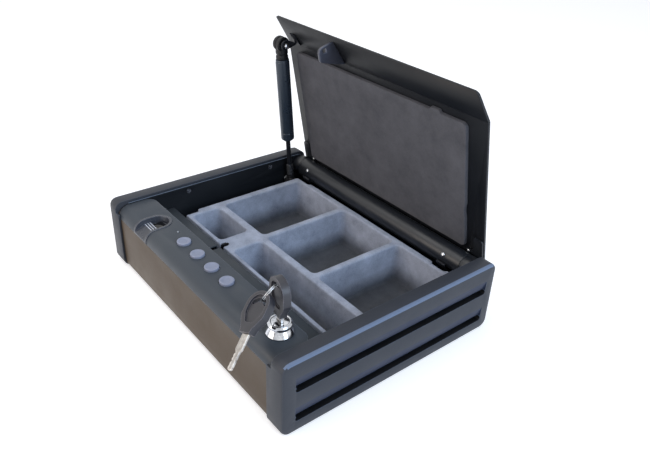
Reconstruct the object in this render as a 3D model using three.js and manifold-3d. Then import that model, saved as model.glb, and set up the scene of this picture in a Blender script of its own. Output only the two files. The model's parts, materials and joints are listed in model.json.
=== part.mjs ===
// Portable car safe with a strut-held lid, a lock console and a divider tray.
// Millimetres. X runs from the left cap to the right cap, Y to the hinge side, Z up from the floor.
import * as THREE from 'three';
import { mergeVertices } from 'three/addons/utils/BufferGeometryUtils.js';
import Module from 'manifold-3d';

const wasm = await Module();
wasm.setup();

// Overall body
const bodyWidth = 314;
const bodyDepth = 242;
const bodyHeight = 73.2;
const seatGap = 0.3; // between pieces that touch
const runGap = 0.5; // between pieces that slide past each other
const arcSteps = 3; // half the number of steps in a rounded corner

// End caps
const capThickness = 15.3;
const capLipReach = 6;
const capLipRise = 5; // of the lip's top above the seam
const capTopRadius = 8;
const capBottomRadius = 8;
const capEdgeFillet = 2.5;
const grooveFrontInset = 12.7; // of the groove's end from the cap's front face
const grooveRearInset = 11;
const grooveSlotHeight = 5;
const grooveEndRadius = 2.4;
const grooveSlotDepth = 8.5;
const grooveScoopHeight = 9.5;
const grooveScoopDepth = 2.4;
const grooveSlotBottoms = [41.8, 11.3];
const capPocketDepth = 10.5;
const capPocketHeight = 7;
const capPocketBottoms = [32, 3.2];
const capPocketInset = 21;

// Steel tub
const tubSheet = 1.5;
const tubLift = 2.5; // underside above the floor
const tubInset = 2.5; // front and rear faces behind the caps' faces
const tubBottomRadius = 10;
const sideWallDrop = 2.9; // below the caps' top
const rearWallDrop = 12; // below the hinge's axis
const seamDrop = 12.3; // of the cover's lower edge below its deck
const matThickness = 2.2;
const matMargin = 4.5;

// Console cover
const deckDrop = 3.9; // below the caps' top
const deckWall = 2;
const deckDepth = 38.5;
const deckFrontRadius = 11.8;
const deckRearRadius = 9;
const ledgeDrop = 19.3; // below the deck
const ledgeSheet = 1.5;
const ledgeDepth = 23; // behind the cover

// Buttons and their circuit board
const buttonPitch = 26;
const buttonFirstOffset = 48; // from the reader's middle
const buttonSetback = 23.5; // behind the tub's front face
const buttonCount = 4;
const buttonRadius = 6.8;
const buttonProud = 2;
const buttonTravel = 1.2;
const buttonFlangeRadius = 8.4;
const buttonFlangeThickness = 1.4;
const buttonFlangeDrop = 0.7;
const buttonStemRadius = 2.5;
const buttonStemLength = 0.9;
const boardThickness = 1.6;
const boardMargin = 17;
const boardDepth = 26;
const boardInset = 4.5; // from the cover's front wall
const switchSize = 6;
const switchHeight = 0.7;
const boardPostRadius = 2.4;
const boardPostInset = 4;
const ledOffset = 28; // from the reader's middle
const ledSetback = 4; // behind the row of buttons
const ledRadius = 1.5;
const ledProud = 0.6;

// Fingerprint reader
const readerInset = 51.5; // from the left cap
const readerRadius = 13.5;
const readerMargin = 4.5; // to the cover's rear edge
const readerWall = 2.6;
const readerProud = 0.5;
const readerFloorDrop = 7.1; // below the deck
const readerSillDrop = 5.3;
const readerMouthDrop = 10.1;
const readerSillSetback = 9; // behind the tub's front face
const readerSillDepth = 8;
const ridgePitch = 2.7;
const ridgeWidth = 1.1;
const ridgeHeight = 0.6;
const ridgeCount = 3;
const sensorHalfWidth = 7;
const sensorDepth = 10;
const sensorThickness = 2;

// Key lock
const lockInset = 24.4; // from the right cap
const lockSetforth = 0.5; // in front of the row of buttons
const lockFlangeRadius = 12;
const lockWaistRadius = 9.6;
const lockHeadProud = 10.9; // above the deck
const lockBodyRadius = 9;
const lockBodyDepth = 15.3; // below the deck
const lockCoreRadius = 7.4;
const lockCoreTail = 1.2; // below the lock's body
const lockNutRadius = 13.4;
const lockNutHeight = 4.6;
const camThickness = 2;
const camRadius = 6;
const pegReach = 9;
const pegRadius = 1.8;
const pegEyeRadius = 3;
const pegTail = 0.5; // below the latch bar

// Keys
const keyBladeWidth = 7.4;
const keyTipWidth = 4.8;
const keyShoulderLength = 13;
const keyBladeLength = 29;
const keyBladeThickness = 2.3;
const keyBowLength = 35;
const keyBowWidth = 25;
const keyBowThickness = 6.6;
const keyNeckWidth = 11;
const keyRimWidth = 3.2;
const keyWebThickness = 3;
const keySlotRadius = 9.3; // of the curved slot's middle line
const keySlotTop = 6.9; // middle line below the bow's top
const keySlotHeight = 3.8;
const keySlotSweep = 45; // degrees to each side of the top
const keyTurn = -9; // degrees of the blade's width from the X axis
const keyNeckProud = 16.7; // above the deck
const ringRadius = 10.4;
const ringWire = 0.85;
const ringRunGap = 0.4;
const ringOffset = new THREE.Vector3(-6.4, -3.5, 19.1); // from the key's neck
const ringNormal = new THREE.Vector3(0.831, 0.295, -0.472);
const spareSlotOffset = new THREE.Vector3(-3.9, -13.5, 17.2);
const spareTipOffset = new THREE.Vector3(18.6, -60.2, -17.6);
const spareRoll = -25; // degrees about the spare key's own length

// Latch
const barWidth = 3.6;
const barHeight = 3.6;
const barSetforth = 7.4; // of its front face before the ledge's rear edge
const barDrop = 6.1; // of its underside below the ledge's top
const barTipGap = 3.5; // from the catch's middle
const barStroke = pegReach * Math.SQRT2;
const forkDepth = 4.6;
const prongWidth = 3;
const catchX = -44.2;
const catchThickness = 3;
const catchDrop = 11.3; // of its lower edge below the ledge's top
const catchSlotWidth = 5.2;
const catchSlotSetforth = 5.6; // before the latch bar
const catchSlotLength = 26.7;
const catchSlotDrop = 13;
const keeperWidth = 7.5;
const guideWidth = 6;
const guideWall = 1.9;
const guideInset = 31.5; // from the lock
const solenoidX = 10;
const solenoidLength = 30;
const solenoidDepth = 12.5;
const solenoidHeight = 10;
const plungerRadius = 2.5;
const plungerInsert = 18;
const plungerTab = 3;

// Battery holder
const cellRadius = 7.1;
const cellLength = 49;
const cellGap = 0.6;
const holderWall = 1.5;
const holderX = -9;
const holderSetback = 25.7; // behind the tub's front face
const holderHeight = 15;

// Hinge
const hingeInset = 8; // from the caps' rear face
const hingeDrop = 15.7; // below the caps' top
const barrelRadius = 11.3;
const barrelWall = 1.7;
const barrelEndInset = 13.7; // from the caps
const rodRadius = 4;
const rodRunGap = 0.06;
const rodEndGap = 0.3;
const bracketLeftInset = 30.9; // from the caps
const bracketRightInset = 34.1;
const bracketWidth = 11;
const bracketSheet = 2.2;
const rivetHeadRadius = 2.3;
const rivetHeadHeight = 1.3;
const rivetShankRadius = 1.2;
const rivetShankLength = 3.2;
const rivetAngle = 156; // degrees from +Y about the hinge
const strapSheet = 1.6;
const strapLength = 28;
const earReach = 8.5;
const earDepth = 4.3;
const lidRivetInset = 16.9; // from the lid's edge

// Lid
const lidSideGap = 2; // to the caps
const lidSheet = 2;
const lidOffset = 11.9; // inner face from the hinge axis
const lidRearReach = 3;
const lidBendSetback = 16.4; // behind the ledge
const flangeLength = 35.9;
const flangeAngle = 23.8;
const lidCornerRadius = 4;
const lidTipNarrowing = 4; // of the flange at its left tip
const lidBendRadius = 3;
const openAngle = 78.8;
const padLeftInset = 15.2; // from the lid's edge
const padRightInset = 20.9;
const padFrontInset = 7.6; // from the bend
const padRearInset = 12; // from the hinge's axis
const padThickness = 4;
const padRadius = 6;

// Gas strut
const strutInset = 10.1; // from the left cap
const strutLowerForth = 19.4; // before the hinge's axis
const strutLowerDrop = 14.5; // below the hinge's axis
const strutUpperForth = 4; // before the lid's bend
const strutUpperDrop = 15.8; // below the lid's inner face
const strutPlateGap = 0.5; // from the socket's neck to the lid's plate
const tubeRadius = 7.6;
const tubeWall = 1.4;
const tubeStart = 54.8; // from the lower ball, lid open
const tubeHeadGap = 16.7; // from the tube's end to the upper ball
const strutRodRadius = 2.7;
const pistonLength = 6;
const rodInsert = 20;
const strutStroke = 38.4; // of free bore above the piston
const socketRadius = 6;
const upperSocketRadius = 8;
const lowerNeckRadius = 4.4;
const upperNeckRadius = 6.8;
const socketHalfWidth = 5.4;
const socketLength = 9;
const ballRadius = 3.4;
const studRadius = 2;
const bootRadius = 3.6;
const bootRib = 0.7;
const bootRibCount = 4;
const strutPlateSheet = 2;
const strutPlateRadius = 5.4;
const strutFootReach = 9;
const studHeadRadius = 2.7;
const studHeadLength = 2.6;
const studTail = 0.45; // of the stud past the plate towards its ball
const studBallGap = 0.4;

// Tray
const trayLeftInset = 18.5; // from the caps
const trayRightInset = 2.7;
const trayFrontGap = 3; // behind the ledge
const trayRearInset = 19.8; // from the caps' rear face
const trayFloor = 10;
const trayCorner = 6;
const trayDraft = 3;
const pocketCorner = 5;
const trayNotchDepth = 3.8;
const trayNotchMargin = 3.6;
const trayWall = 7.7;
const trayReliefLength = 18; // of the corner that clears the strut's plate
const trayReliefGap = 1.9; // beside the stud's head
const frontRowDepth = 37.5; // from the tray's front edge
const rowRib = 8; // between the front and rear pockets
const frontPocketInset = 11; // of the first pocket from the tray's left edge
const rearPocketInset = 9;
const frontPocketRibs = [[-53.7, -29.2]]; // from x to x
const rearPocketRibs = [[-37.7, -30.7], [47.8, 54.8]];

// Wall screws
const screwFrontSetback = 19.2; // behind the ledge
const screwRearInset = 43.7; // before the hinge's axis
const screwDrop = 8.8; // below the caps' top
const screwHeadRadius = 2.7;
const screwHeadProud = 0.3;
const screwShankRadius = 1.4;
const screwLength = 8;

// Sizes that follow from the ones above
const capOuterX = bodyWidth / 2;
const capInnerX = capOuterX - capThickness;
const bodyFront = -bodyDepth / 2;
const bodyRear = bodyDepth / 2;
const tubFront = bodyFront + tubInset;
const tubRear = bodyRear - tubInset;
const wallOuterX = capInnerX - seatGap;
const wallInnerX = wallOuterX - tubSheet;
const tubFloor = tubLift + tubSheet;
const sideWallTop = bodyHeight - sideWallDrop;
const hingeY = bodyRear - hingeInset;
const hingeZ = bodyHeight - hingeDrop;
const rearWallTop = hingeZ - rearWallDrop;
const deckHeight = bodyHeight - deckDrop;
const deckRear = tubFront + deckDepth;
const fittedHalfWidth = wallInnerX - seatGap;
const deckUnder = deckHeight - deckWall;
const seamHeight = deckHeight - seamDrop;
const capLipTop = seamHeight + capLipRise;
const grooveFront = bodyFront + grooveFrontInset;
const grooveRear = bodyRear - grooveRearInset;
const capPocketHalfLength = bodyRear - capPocketInset;
const ledgeHeight = deckHeight - ledgeDrop;
const ledgeRear = deckRear + ledgeDepth;
const ledgeUnder = ledgeHeight - ledgeSheet;
const skirtFront = ledgeRear - ledgeSheet;
const buttonY = tubFront + buttonSetback;
const ledY = buttonY + ledSetback;
const flangeBottom = deckUnder - buttonFlangeDrop - buttonFlangeThickness;
const boardTop = flangeBottom - buttonStemLength - buttonTravel - seatGap - switchHeight;
const boardY = tubFront + deckWall + boardInset + boardDepth / 2;
const readerX = readerInset - capInnerX;
const buttonFirstX = readerX + buttonFirstOffset;
const ledX = readerX + ledOffset;
const readerRear = deckRear - readerMargin;
const readerFloor = deckHeight - readerFloorDrop;
const readerSillTop = deckHeight - readerSillDrop;
const readerMouthFloor = deckHeight - readerMouthDrop;
const readerSillFront = tubFront + readerSillSetback;
const readerSillRear = readerSillFront + readerSillDepth;
const lockX = capInnerX - lockInset;
const lockY = buttonY - lockSetforth;
const lockHeadTop = deckHeight + lockHeadProud;
const lockCoreTop = lockHeadTop - seatGap;
const lockBodyBottom = deckHeight - lockBodyDepth;
const lockCoreBottom = lockBodyBottom - lockCoreTail;
const keyNeck = new THREE.Vector3(lockX, lockY, deckHeight + keyNeckProud);
const ringCentre = keyNeck.clone().add(ringOffset);
const spareSlot = keyNeck.clone().add(spareSlotOffset);
const spareTip = keyNeck.clone().add(spareTipOffset);
const barFront = ledgeRear - barSetforth;
const barRear = barFront + barWidth;
const barBottom = ledgeHeight - barDrop;
const barTop = barBottom + barHeight;
const barTip = catchX + barTipGap;
const pegBottom = barBottom - pegTail;
const pegSide = pegReach * Math.SQRT1_2;
const guideX = lockX - guideInset;
const catchBottom = ledgeHeight - catchDrop;
const catchSlotFront = barFront - catchSlotSetforth;
const catchSlotRear = catchSlotFront + catchSlotLength;
const catchSlotBottom = ledgeHeight - catchSlotDrop;
const holderY = tubFront + holderSetback;
const hingeAxis = new THREE.Vector3(1, 0, 0);
const barrelHalfLength = capInnerX - barrelEndInset;
const bracketXs = [bracketLeftInset - capInnerX, capInnerX - bracketRightInset];
const lidHalfWidth = capInnerX - lidSideGap;
const lidRivetX = lidHalfWidth - lidRivetInset;
const lidInnerZ = hingeZ + lidOffset;
const lidBendY = ledgeRear + lidBendSetback;
const flangeRun = flangeLength * Math.cos(THREE.MathUtils.degToRad(flangeAngle));
const flangeDrop = flangeLength * Math.sin(THREE.MathUtils.degToRad(flangeAngle));
const padLeft = padLeftInset - lidHalfWidth;
const padRight = lidHalfWidth - padRightInset;
const padFront = lidBendY + padFrontInset;
const padRear = hingeY - padRearInset;
const strutX = strutInset - capInnerX;
const strutLowerY = hingeY - strutLowerForth;
const strutLowerZ = hingeZ - strutLowerDrop;
const strutUpperClosedY = lidBendY - strutUpperForth;
const strutUpperClosedZ = lidInnerZ - strutUpperDrop;
const strutPlateLeft = strutX + upperNeckRadius + strutPlateGap;
const trayLeft = trayLeftInset - capInnerX;
const trayRight = capInnerX - trayRightInset;
const trayFront = ledgeRear + trayFrontGap;
const trayRear = bodyRear - trayRearInset;
const trayTop = ledgeHeight;
const frontRowRear = trayFront + frontRowDepth;
const rearRowFront = frontRowRear + rowRib;
const screwYs = [ledgeRear + screwFrontSetback, hingeY - screwRearInset];
const screwZ = bodyHeight - screwDrop;
const big = 400; // reach of a cutting block past the part
const sliver = 0.5; // overlap of a cutting block's end

const finishes = {
  cap: { color: 0x55585f, roughness: 0.5, metalness: 0.1 },
  steel: { color: 0x3a3c40, roughness: 0.5, metalness: 0.4 },
  deck: { color: 0x4b4d50, roughness: 0.45, metalness: 0.1 },
  lid: { color: 0x2a2c31, roughness: 0.4, metalness: 0.4 },
  darkMetal: { color: 0x1b1c20, roughness: 0.45, metalness: 0.5 },
  chrome: { color: 0xd8dade, roughness: 0.12, metalness: 1 },
  nickel: { color: 0xc8bab0, roughness: 0.25, metalness: 1 },
  zinc: { color: 0x9a9c9e, roughness: 0.4, metalness: 0.9 },
  blackPlastic: { color: 0x18191b, roughness: 0.5, metalness: 0 },
  gloss: { color: 0x0d0e10, roughness: 0.12, metalness: 0 },
  button: { color: 0xb5b4c0, roughness: 0.45, metalness: 0 },
  flock: { color: 0x8a8c90, roughness: 0.95, metalness: 0 },
  foam: { color: 0x4e4f54, roughness: 0.95, metalness: 0 },
  rubber: { color: 0x1c1c1c, roughness: 0.9, metalness: 0 },
  board: { color: 0x1f5a36, roughness: 0.5, metalness: 0 },
  cell: { color: 0x30343c, roughness: 0.35, metalness: 0.4 },
  light: { color: 0xe8ecec, roughness: 0.2, metalness: 0 },
};

function finishOf(name) {
  return new THREE.MeshStandardMaterial(finishes[name]);
}

function piece(name, geometry, finish) {
  const mesh = new THREE.Mesh(geometry, finishOf(finish));
  mesh.name = name;
  return mesh;
}

// Closed outline through corners [u, v, radius]; a corner without a radius stays sharp.
function outline(corners) {
  const shape = new THREE.Shape();
  corners.forEach(([u, v, radius], i) => {
    const before = corners[(i + corners.length - 1) % corners.length];
    const after = corners[(i + 1) % corners.length];
    const corner = new THREE.Vector2(u, v);
    if (!radius) {
      if (i === 0) shape.moveTo(u, v);
      else shape.lineTo(u, v);
      return;
    }
    const back = new THREE.Vector2(before[0] - u, before[1] - v).normalize();
    const ahead = new THREE.Vector2(after[0] - u, after[1] - v).normalize();
    const halfAngle = Math.acos(back.dot(ahead)) / 2;
    const reach = radius / Math.tan(halfAngle);
    const start = corner.clone().addScaledVector(back, reach);
    const end = corner.clone().addScaledVector(ahead, reach);
    const middle = back.clone().add(ahead).normalize();
    const centre = corner.clone().addScaledVector(middle, radius / Math.sin(halfAngle));
    const from = Math.atan2(start.y - centre.y, start.x - centre.x);
    const to = Math.atan2(end.y - centre.y, end.x - centre.x);
    if (i === 0) shape.moveTo(start.x, start.y);
    shape.absarc(centre.x, centre.y, radius, from, to, back.cross(ahead) > 0);
  });
  return shape;
}

function rectangle(u0, u1, v0, v1, radius = 0) {
  return outline([[u0, v0, radius], [u1, v0, radius], [u1, v1, radius], [u0, v1, radius]]);
}

function circle(u, v, radius) {
  const shape = new THREE.Shape();
  shape.absarc(u, v, radius, 0, 2 * Math.PI, false);
  return shape;
}

// Turns an extrusion so that its outline lies across the named axis.
const axisFrames = {
  x: new THREE.Matrix4().set(0, 0, 1, 0, 1, 0, 0, 0, 0, 1, 0, 0, 0, 0, 0, 1),
  y: new THREE.Matrix4().set(1, 0, 0, 0, 0, 0, -1, 0, 0, 1, 0, 0, 0, 0, 0, 1),
  z: new THREE.Matrix4(),
};

// Straight prism of an outline: (Y, Z) along x, (X, Z) along y or (X, Y) along z.
function prism(shape, axis, from, to, steps = arcSteps) {
  const options = { depth: to - from, bevelEnabled: false, curveSegments: steps };
  const geometry = new THREE.ExtrudeGeometry(shape, options);
  geometry.translate(0, 0, axis === 'y' ? -to : from);
  return geometry.applyMatrix4(axisFrames[axis]);
}

function block(x0, x1, y0, y1, z0, z1) {
  const geometry = new THREE.BoxGeometry(x1 - x0, y1 - y0, z1 - z0);
  return geometry.translate((x0 + x1) / 2, (y0 + y1) / 2, (z0 + z1) / 2);
}

// Round bar along an axis, through the other two coordinates in X, Y, Z order.
function bar(axis, u, v, radius, from, to, sides = 24) {
  const geometry = new THREE.CylinderGeometry(radius, radius, to - from, sides);
  const middle = (from + to) / 2;
  if (axis === 'x') return geometry.rotateZ(-Math.PI / 2).translate(middle, u, v);
  if (axis === 'y') return geometry.translate(u, middle, v);
  return geometry.rotateX(Math.PI / 2).translate(u, v, middle);
}

// Turned piece about Z; the profile of [radius, height] runs up its outside.
function turned(profile, sides = 24) {
  const points = profile.map(([radius, height]) => new THREE.Vector2(radius, height));
  return new THREE.LatheGeometry(points, sides).rotateX(Math.PI / 2);
}

function toSolid(geometry) {
  const bare = new THREE.BufferGeometry();
  bare.setAttribute('position', geometry.attributes.position);
  if (geometry.index) bare.setIndex(geometry.index);
  const merged = mergeVertices(bare, 1e-4);
  const index = merged.index.array;
  const triangles = [];
  for (let i = 0; i < index.length; i += 3) {
    const [a, b, c] = [index[i], index[i + 1], index[i + 2]];
    if (a !== b && b !== c && c !== a) triangles.push(a, b, c);
  }
  return new wasm.Manifold(new wasm.Mesh({
    numProp: 3,
    vertProperties: Float32Array.from(merged.attributes.position.array),
    triVerts: Uint32Array.from(triangles),
  }));
}

function toGeometry(solid) {
  const mesh = solid.getMesh();
  const geometry = new THREE.BufferGeometry();
  geometry.setAttribute('position', new THREE.BufferAttribute(mesh.vertProperties, 3));
  geometry.setIndex(new THREE.BufferAttribute(mesh.triVerts, 1));
  geometry.computeVertexNormals();
  return geometry;
}

function cut(body, ...tools) {
  return toGeometry(tools.reduce((solid, tool) => solid.subtract(toSolid(tool)), toSolid(body)));
}

function join(body, ...others) {
  return toGeometry(others.reduce((solid, other) => solid.add(toSolid(other)), toSolid(body)));
}

function common(body, other) {
  return toGeometry(toSolid(body).intersect(toSolid(other)));
}

// Side view of an end cap, drawn in by an inset all round.
function capOutline(inset) {
  const top = capTopRadius - inset;
  const bottom = capBottomRadius - inset;
  return outline([
    [bodyFront + inset, inset, bottom],
    [bodyRear - inset, inset, bottom],
    [bodyRear - inset, bodyHeight - inset, top],
    [bodyFront + inset, bodyHeight - inset, top],
  ]);
}

// One louvre groove: a scoop that slopes in going down, then a deep slot with round ends.
function grooveTools(slotBottom) {
  const slotTop = slotBottom + grooveSlotHeight;
  const slotShape = rectangle(grooveFront, grooveRear, slotBottom, slotTop, grooveEndRadius);
  const slot = prism(slotShape, 'x', capOuterX - grooveSlotDepth, capOuterX + sliver);
  const scoopShape = outline([
    [capOuterX + sliver, slotTop - sliver],
    [capOuterX + sliver, slotTop + grooveScoopHeight],
    [capOuterX, slotTop + grooveScoopHeight],
    [capOuterX - grooveScoopDepth, slotTop],
    [capOuterX - grooveScoopDepth, slotTop - sliver],
  ]);
  const scoop = prism(scoopShape, 'y', grooveFront, grooveRear);
  return [slot, scoop];
}

// Countersunk screw on local +Z, its head level with the tub's inner face; grown by a gap for its hole.
function screwGeometry(grow) {
  const shank = screwShankRadius + grow;
  const head = screwHeadRadius + grow;
  return turned([
    [0, -screwLength - grow],
    [shank, -screwLength - grow],
    [shank, -tubSheet],
    [head, 0],
    [head, screwHeadProud],
    [0, screwHeadProud],
  ], 16);
}

function screwHole(side, y) {
  const hole = screwGeometry(seatGap).rotateY((-side * Math.PI) / 2);
  return hole.translate(side * wallInnerX, y, screwZ);
}

function capGeometry() {
  const options = {
    depth: capThickness,
    bevelThickness: capEdgeFillet,
    bevelSize: capEdgeFillet,
    bevelOffset: -capEdgeFillet,
    bevelSegments: 2,
    curveSegments: arcSteps,
  };
  const rounded = new THREE.ExtrudeGeometry(capOutline(0), options);
  rounded.applyMatrix4(axisFrames.x).translate(capOuterX - capThickness - capEdgeFillet, 0, 0);
  const keep = block(capInnerX, big, -big, big, -big, big);
  const lipStart = capInnerX - capLipReach;
  const lip = cut(
    prism(capOutline(0), 'x', lipStart, capInnerX + sliver),
    prism(tubOutline(-seatGap, big), 'x', lipStart - sliver, capInnerX),
    block(lipStart - sliver, capInnerX, -big, big, capLipTop, big),
    block(lipStart - sliver, capInnerX, 0, big, rearWallTop - seatGap, big),
  );
  const pockets = capPocketBottoms.map((bottom) => block(
    capInnerX - sliver,
    capInnerX + capPocketDepth,
    -capPocketHalfLength,
    capPocketHalfLength,
    bottom,
    bottom + capPocketHeight,
  ));
  const holes = screwYs.map((y) => screwHole(1, y));
  const grooves = grooveSlotBottoms.flatMap(grooveTools);
  return cut(join(common(rounded, keep), lip), ...grooves, ...pockets, ...holes);
}

// Mirror copy across the middle plane, with its faces turned to point out again.
function mirrored(geometry) {
  const copy = geometry.clone().applyMatrix4(new THREE.Matrix4().makeScale(-1, 1, 1));
  const index = copy.index.array;
  for (let i = 0; i < index.length; i += 3) {
    [index[i], index[i + 1]] = [index[i + 1], index[i]];
  }
  copy.computeVertexNormals();
  return copy;
}

function tubOutline(inset, top) {
  const radius = tubBottomRadius - inset;
  return outline([
    [tubFront + inset, tubLift + inset, radius],
    [tubRear - inset, tubLift + inset, radius],
    [tubRear - inset, top],
    [tubFront + inset, top],
  ]);
}

function tub() {
  const shell = prism(tubOutline(0, sideWallTop), 'x', -wallOuterX, wallOuterX);
  const hollow = prism(tubOutline(tubSheet, big), 'x', -wallInnerX, wallInnerX);
  const rearOpening = block(-wallInnerX, wallInnerX, 0, big, rearWallTop, big);
  const frontOpening = block(-wallInnerX, wallInnerX, -big, 0, seamHeight, big);
  const cornerCut = cut(
    block(-big, big, tubRear - capTopRadius, big, sideWallTop - capTopRadius, big),
    bar('x', tubRear - capTopRadius, sideWallTop - capTopRadius, capTopRadius, -big, big),
  );
  const frontCorner = cut(
    block(-big, big, -big, tubFront + deckFrontRadius, deckHeight - deckFrontRadius, big),
    bar('x', tubFront + deckFrontRadius, deckHeight - deckFrontRadius, deckFrontRadius, -big, big),
  );
  const rodHole = bar('x', hingeY, hingeZ, rodRadius + seatGap, -big, big);
  const holes = screwYs.flatMap((y) => [screwHole(-1, y), screwHole(1, y)]);
  return piece(
    'base_shell',
    cut(shell, hollow, rearOpening, frontOpening, cornerCut, frontCorner, rodHole, ...holes),
    'steel',
  );
}

function baseMat() {
  const halfWidth = capInnerX - capLipReach - seatGap;
  const halfDepth = tubRear - matMargin;
  const shape = rectangle(-halfWidth, halfWidth, -halfDepth, halfDepth, capBottomRadius);
  return piece('base_mat', prism(shape, 'z', 0, matThickness), 'rubber');
}

// Side view of the console cover, drawn in by an inset.
function coverOutline(inset, frontBottom, rearBottom) {
  const step = tubFront + deckFrontRadius / 2;
  return outline([
    [deckRear - inset, rearBottom],
    [deckRear - inset, deckHeight - inset],
    [tubFront + inset, deckHeight - inset, deckFrontRadius - inset],
    [tubFront + inset, frontBottom],
    [step, frontBottom],
    [step, rearBottom],
  ]);
}

function readerPlan(radius) {
  const centreY = readerRear - readerRadius;
  return outline([
    [readerX - radius, tubFront - 2],
    [readerX + radius, tubFront - 2],
    [readerX + radius, centreY + radius, radius - 0.01],
    [readerX - radius, centreY + radius, radius - 0.01],
  ]);
}

function coverPlan(inset) {
  const half = fittedHalfWidth - inset;
  const radius = deckRearRadius - inset;
  return outline([
    [-half, tubFront - 2],
    [half, tubFront - 2],
    [half, deckRear - inset, radius],
    [-half, deckRear - inset, radius],
  ]);
}

const boardLeft = ledX - 5;
const boardRight = buttonFirstX + (buttonCount - 1) * buttonPitch + boardMargin;

function boardCorners() {
  return [boardLeft + boardPostInset, boardRight - boardPostInset].flatMap((x) => [
    [x, boardY - boardDepth / 2 + boardPostInset],
    [x, boardY + boardDepth / 2 - boardPostInset],
  ]);
}

function consoleCover() {
  const half = fittedHalfWidth;
  const frontBottom = seamHeight + seatGap;
  const rearBottom = ledgeHeight + seatGap;
  const outside = prism(coverOutline(0, frontBottom, rearBottom), 'x', -half, half, 4);
  const rounded = common(outside, prism(coverPlan(0), 'z', 0, big));
  const innerHalf = half - deckWall;
  const hollowShape = outline([
    [deckRear - deckWall, 0],
    [deckRear - deckWall, deckUnder],
    [tubFront + deckWall, deckUnder, deckFrontRadius - deckWall],
    [tubFront + deckWall, 0],
  ]);
  const hollow = common(
    prism(hollowShape, 'x', -innerHalf, innerHalf, 4),
    prism(coverPlan(deckWall), 'z', -big, big),
  );
  const posts = boardCorners().map(([x, y]) => (
    bar('z', x, y, boardPostRadius, boardTop + seatGap, deckHeight - deckWall / 2, 12)
  ));
  const buttonHoles = buttonXs.map((x) => (
    bar('z', x, buttonY, buttonRadius + runGap, 0, big)
  ));
  return piece(
    'console_cover',
    cut(
      join(cut(rounded, hollow), ...posts),
      prism(readerPlan(readerRadius + seatGap), 'z', 0, big, 5),
      bar('z', lockX, lockY, lockBodyRadius + seatGap, 0, big),
      bar('z', ledX, ledY, ledRadius + seatGap, 0, big, 12),
      ...buttonHoles,
    ),
    'deck',
  );
}

function ledge() {
  const half = fittedHalfWidth;
  const shape = outline([
    [deckRear + seatGap, ledgeUnder],
    [skirtFront, ledgeUnder],
    [skirtFront, tubFloor + seatGap],
    [ledgeRear, tubFloor + seatGap],
    [ledgeRear, ledgeHeight],
    [deckRear + seatGap, ledgeHeight],
  ]);
  const slot = block(
    catchX - catchSlotWidth / 2,
    catchX + catchSlotWidth / 2,
    catchSlotFront,
    ledgeRear + sliver,
    catchSlotBottom,
    big,
  );
  return piece('ledge_plate', cut(prism(shape, 'x', -half, half), slot), 'deck');
}

const buttonXs = Array.from({ length: buttonCount }, (_, i) => buttonFirstX + i * buttonPitch);

function pushButton(index) {
  const top = deckHeight + buttonProud;
  const profile = [
    [0, flangeBottom - buttonStemLength],
    [buttonStemRadius, flangeBottom - buttonStemLength],
    [buttonStemRadius, flangeBottom],
    [buttonFlangeRadius, flangeBottom],
    [buttonFlangeRadius, flangeBottom + buttonFlangeThickness],
    [buttonRadius, flangeBottom + buttonFlangeThickness],
    [buttonRadius, top - 1],
    [buttonRadius - 0.5, top - 0.3],
    [buttonRadius - 1.4, top],
    [0, top],
  ];
  const mesh = piece(`button_${index + 1}`, turned(profile), 'button');
  mesh.position.set(buttonXs[index], buttonY, 0);
  return mesh;
}

function circuitBoard() {
  const y0 = boardY - boardDepth / 2;
  const plate = block(boardLeft, boardRight, y0, y0 + boardDepth, boardTop - boardThickness, boardTop);
  const half = switchSize / 2;
  const switches = buttonXs.map((x) => (
    block(x - half, x + half, buttonY - half, buttonY + half, boardTop - sliver, boardTop + switchHeight)
  ));
  return piece('button_board', join(plate, ...switches), 'board');
}

function statusLight() {
  const top = deckHeight + ledProud;
  const profile = [
    [0, boardTop + seatGap],
    [ledRadius, boardTop + seatGap],
    [ledRadius, top - 0.5],
    [ledRadius - 0.6, top],
    [0, top],
  ];
  const mesh = piece('status_light', turned(profile, 12), 'light');
  mesh.position.set(ledX, ledY, 0);
  return mesh;
}

function fingerprintBezel() {
  const troughRadius = readerRadius - readerWall;
  const outside = outline([
    [deckRear, seamHeight + 2 * seatGap],
    [deckRear, deckHeight + readerProud],
    [tubFront - readerProud, deckHeight + readerProud, deckFrontRadius],
    [tubFront - readerProud, seamHeight + 2 * seatGap],
  ]);
  const body = common(
    prism(outside, 'x', readerX - 20, readerX + 20, 4),
    prism(readerPlan(readerRadius), 'z', 0, big, 5),
  );
  const front = tubFront - 1;
  const trough = outline([
    [front, readerMouthFloor],
    [readerSillFront, readerSillTop],
    [readerSillRear, readerSillTop],
    [readerSillRear, readerFloor],
    [deckRear, readerFloor],
    [deckRear, big],
    [front, big],
  ]);
  const cutter = common(
    prism(trough, 'x', readerX - 20, readerX + 20),
    prism(readerPlan(troughRadius), 'z', 0, big, 5),
  );
  const ridges = Array.from({ length: ridgeCount }, (_, i) => {
    const y = readerSillRear - ridgeWidth - i * ridgePitch;
    return block(
      readerX - troughRadius - sliver,
      readerX + troughRadius + sliver,
      y,
      y + ridgeWidth,
      readerSillTop - sliver,
      readerSillTop + ridgeHeight,
    );
  });
  return piece('fingerprint_bezel', join(cut(body, cutter), ...ridges), 'blackPlastic');
}

function fingerprintSensor() {
  const y0 = readerSillRear + seatGap;
  const shape = rectangle(readerX - sensorHalfWidth, readerX + sensorHalfWidth, y0, y0 + sensorDepth, 1.5);
  const z0 = readerFloor + seatGap;
  return piece('fingerprint_sensor', prism(shape, 'z', z0, z0 + sensorThickness), 'gloss');
}

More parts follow.
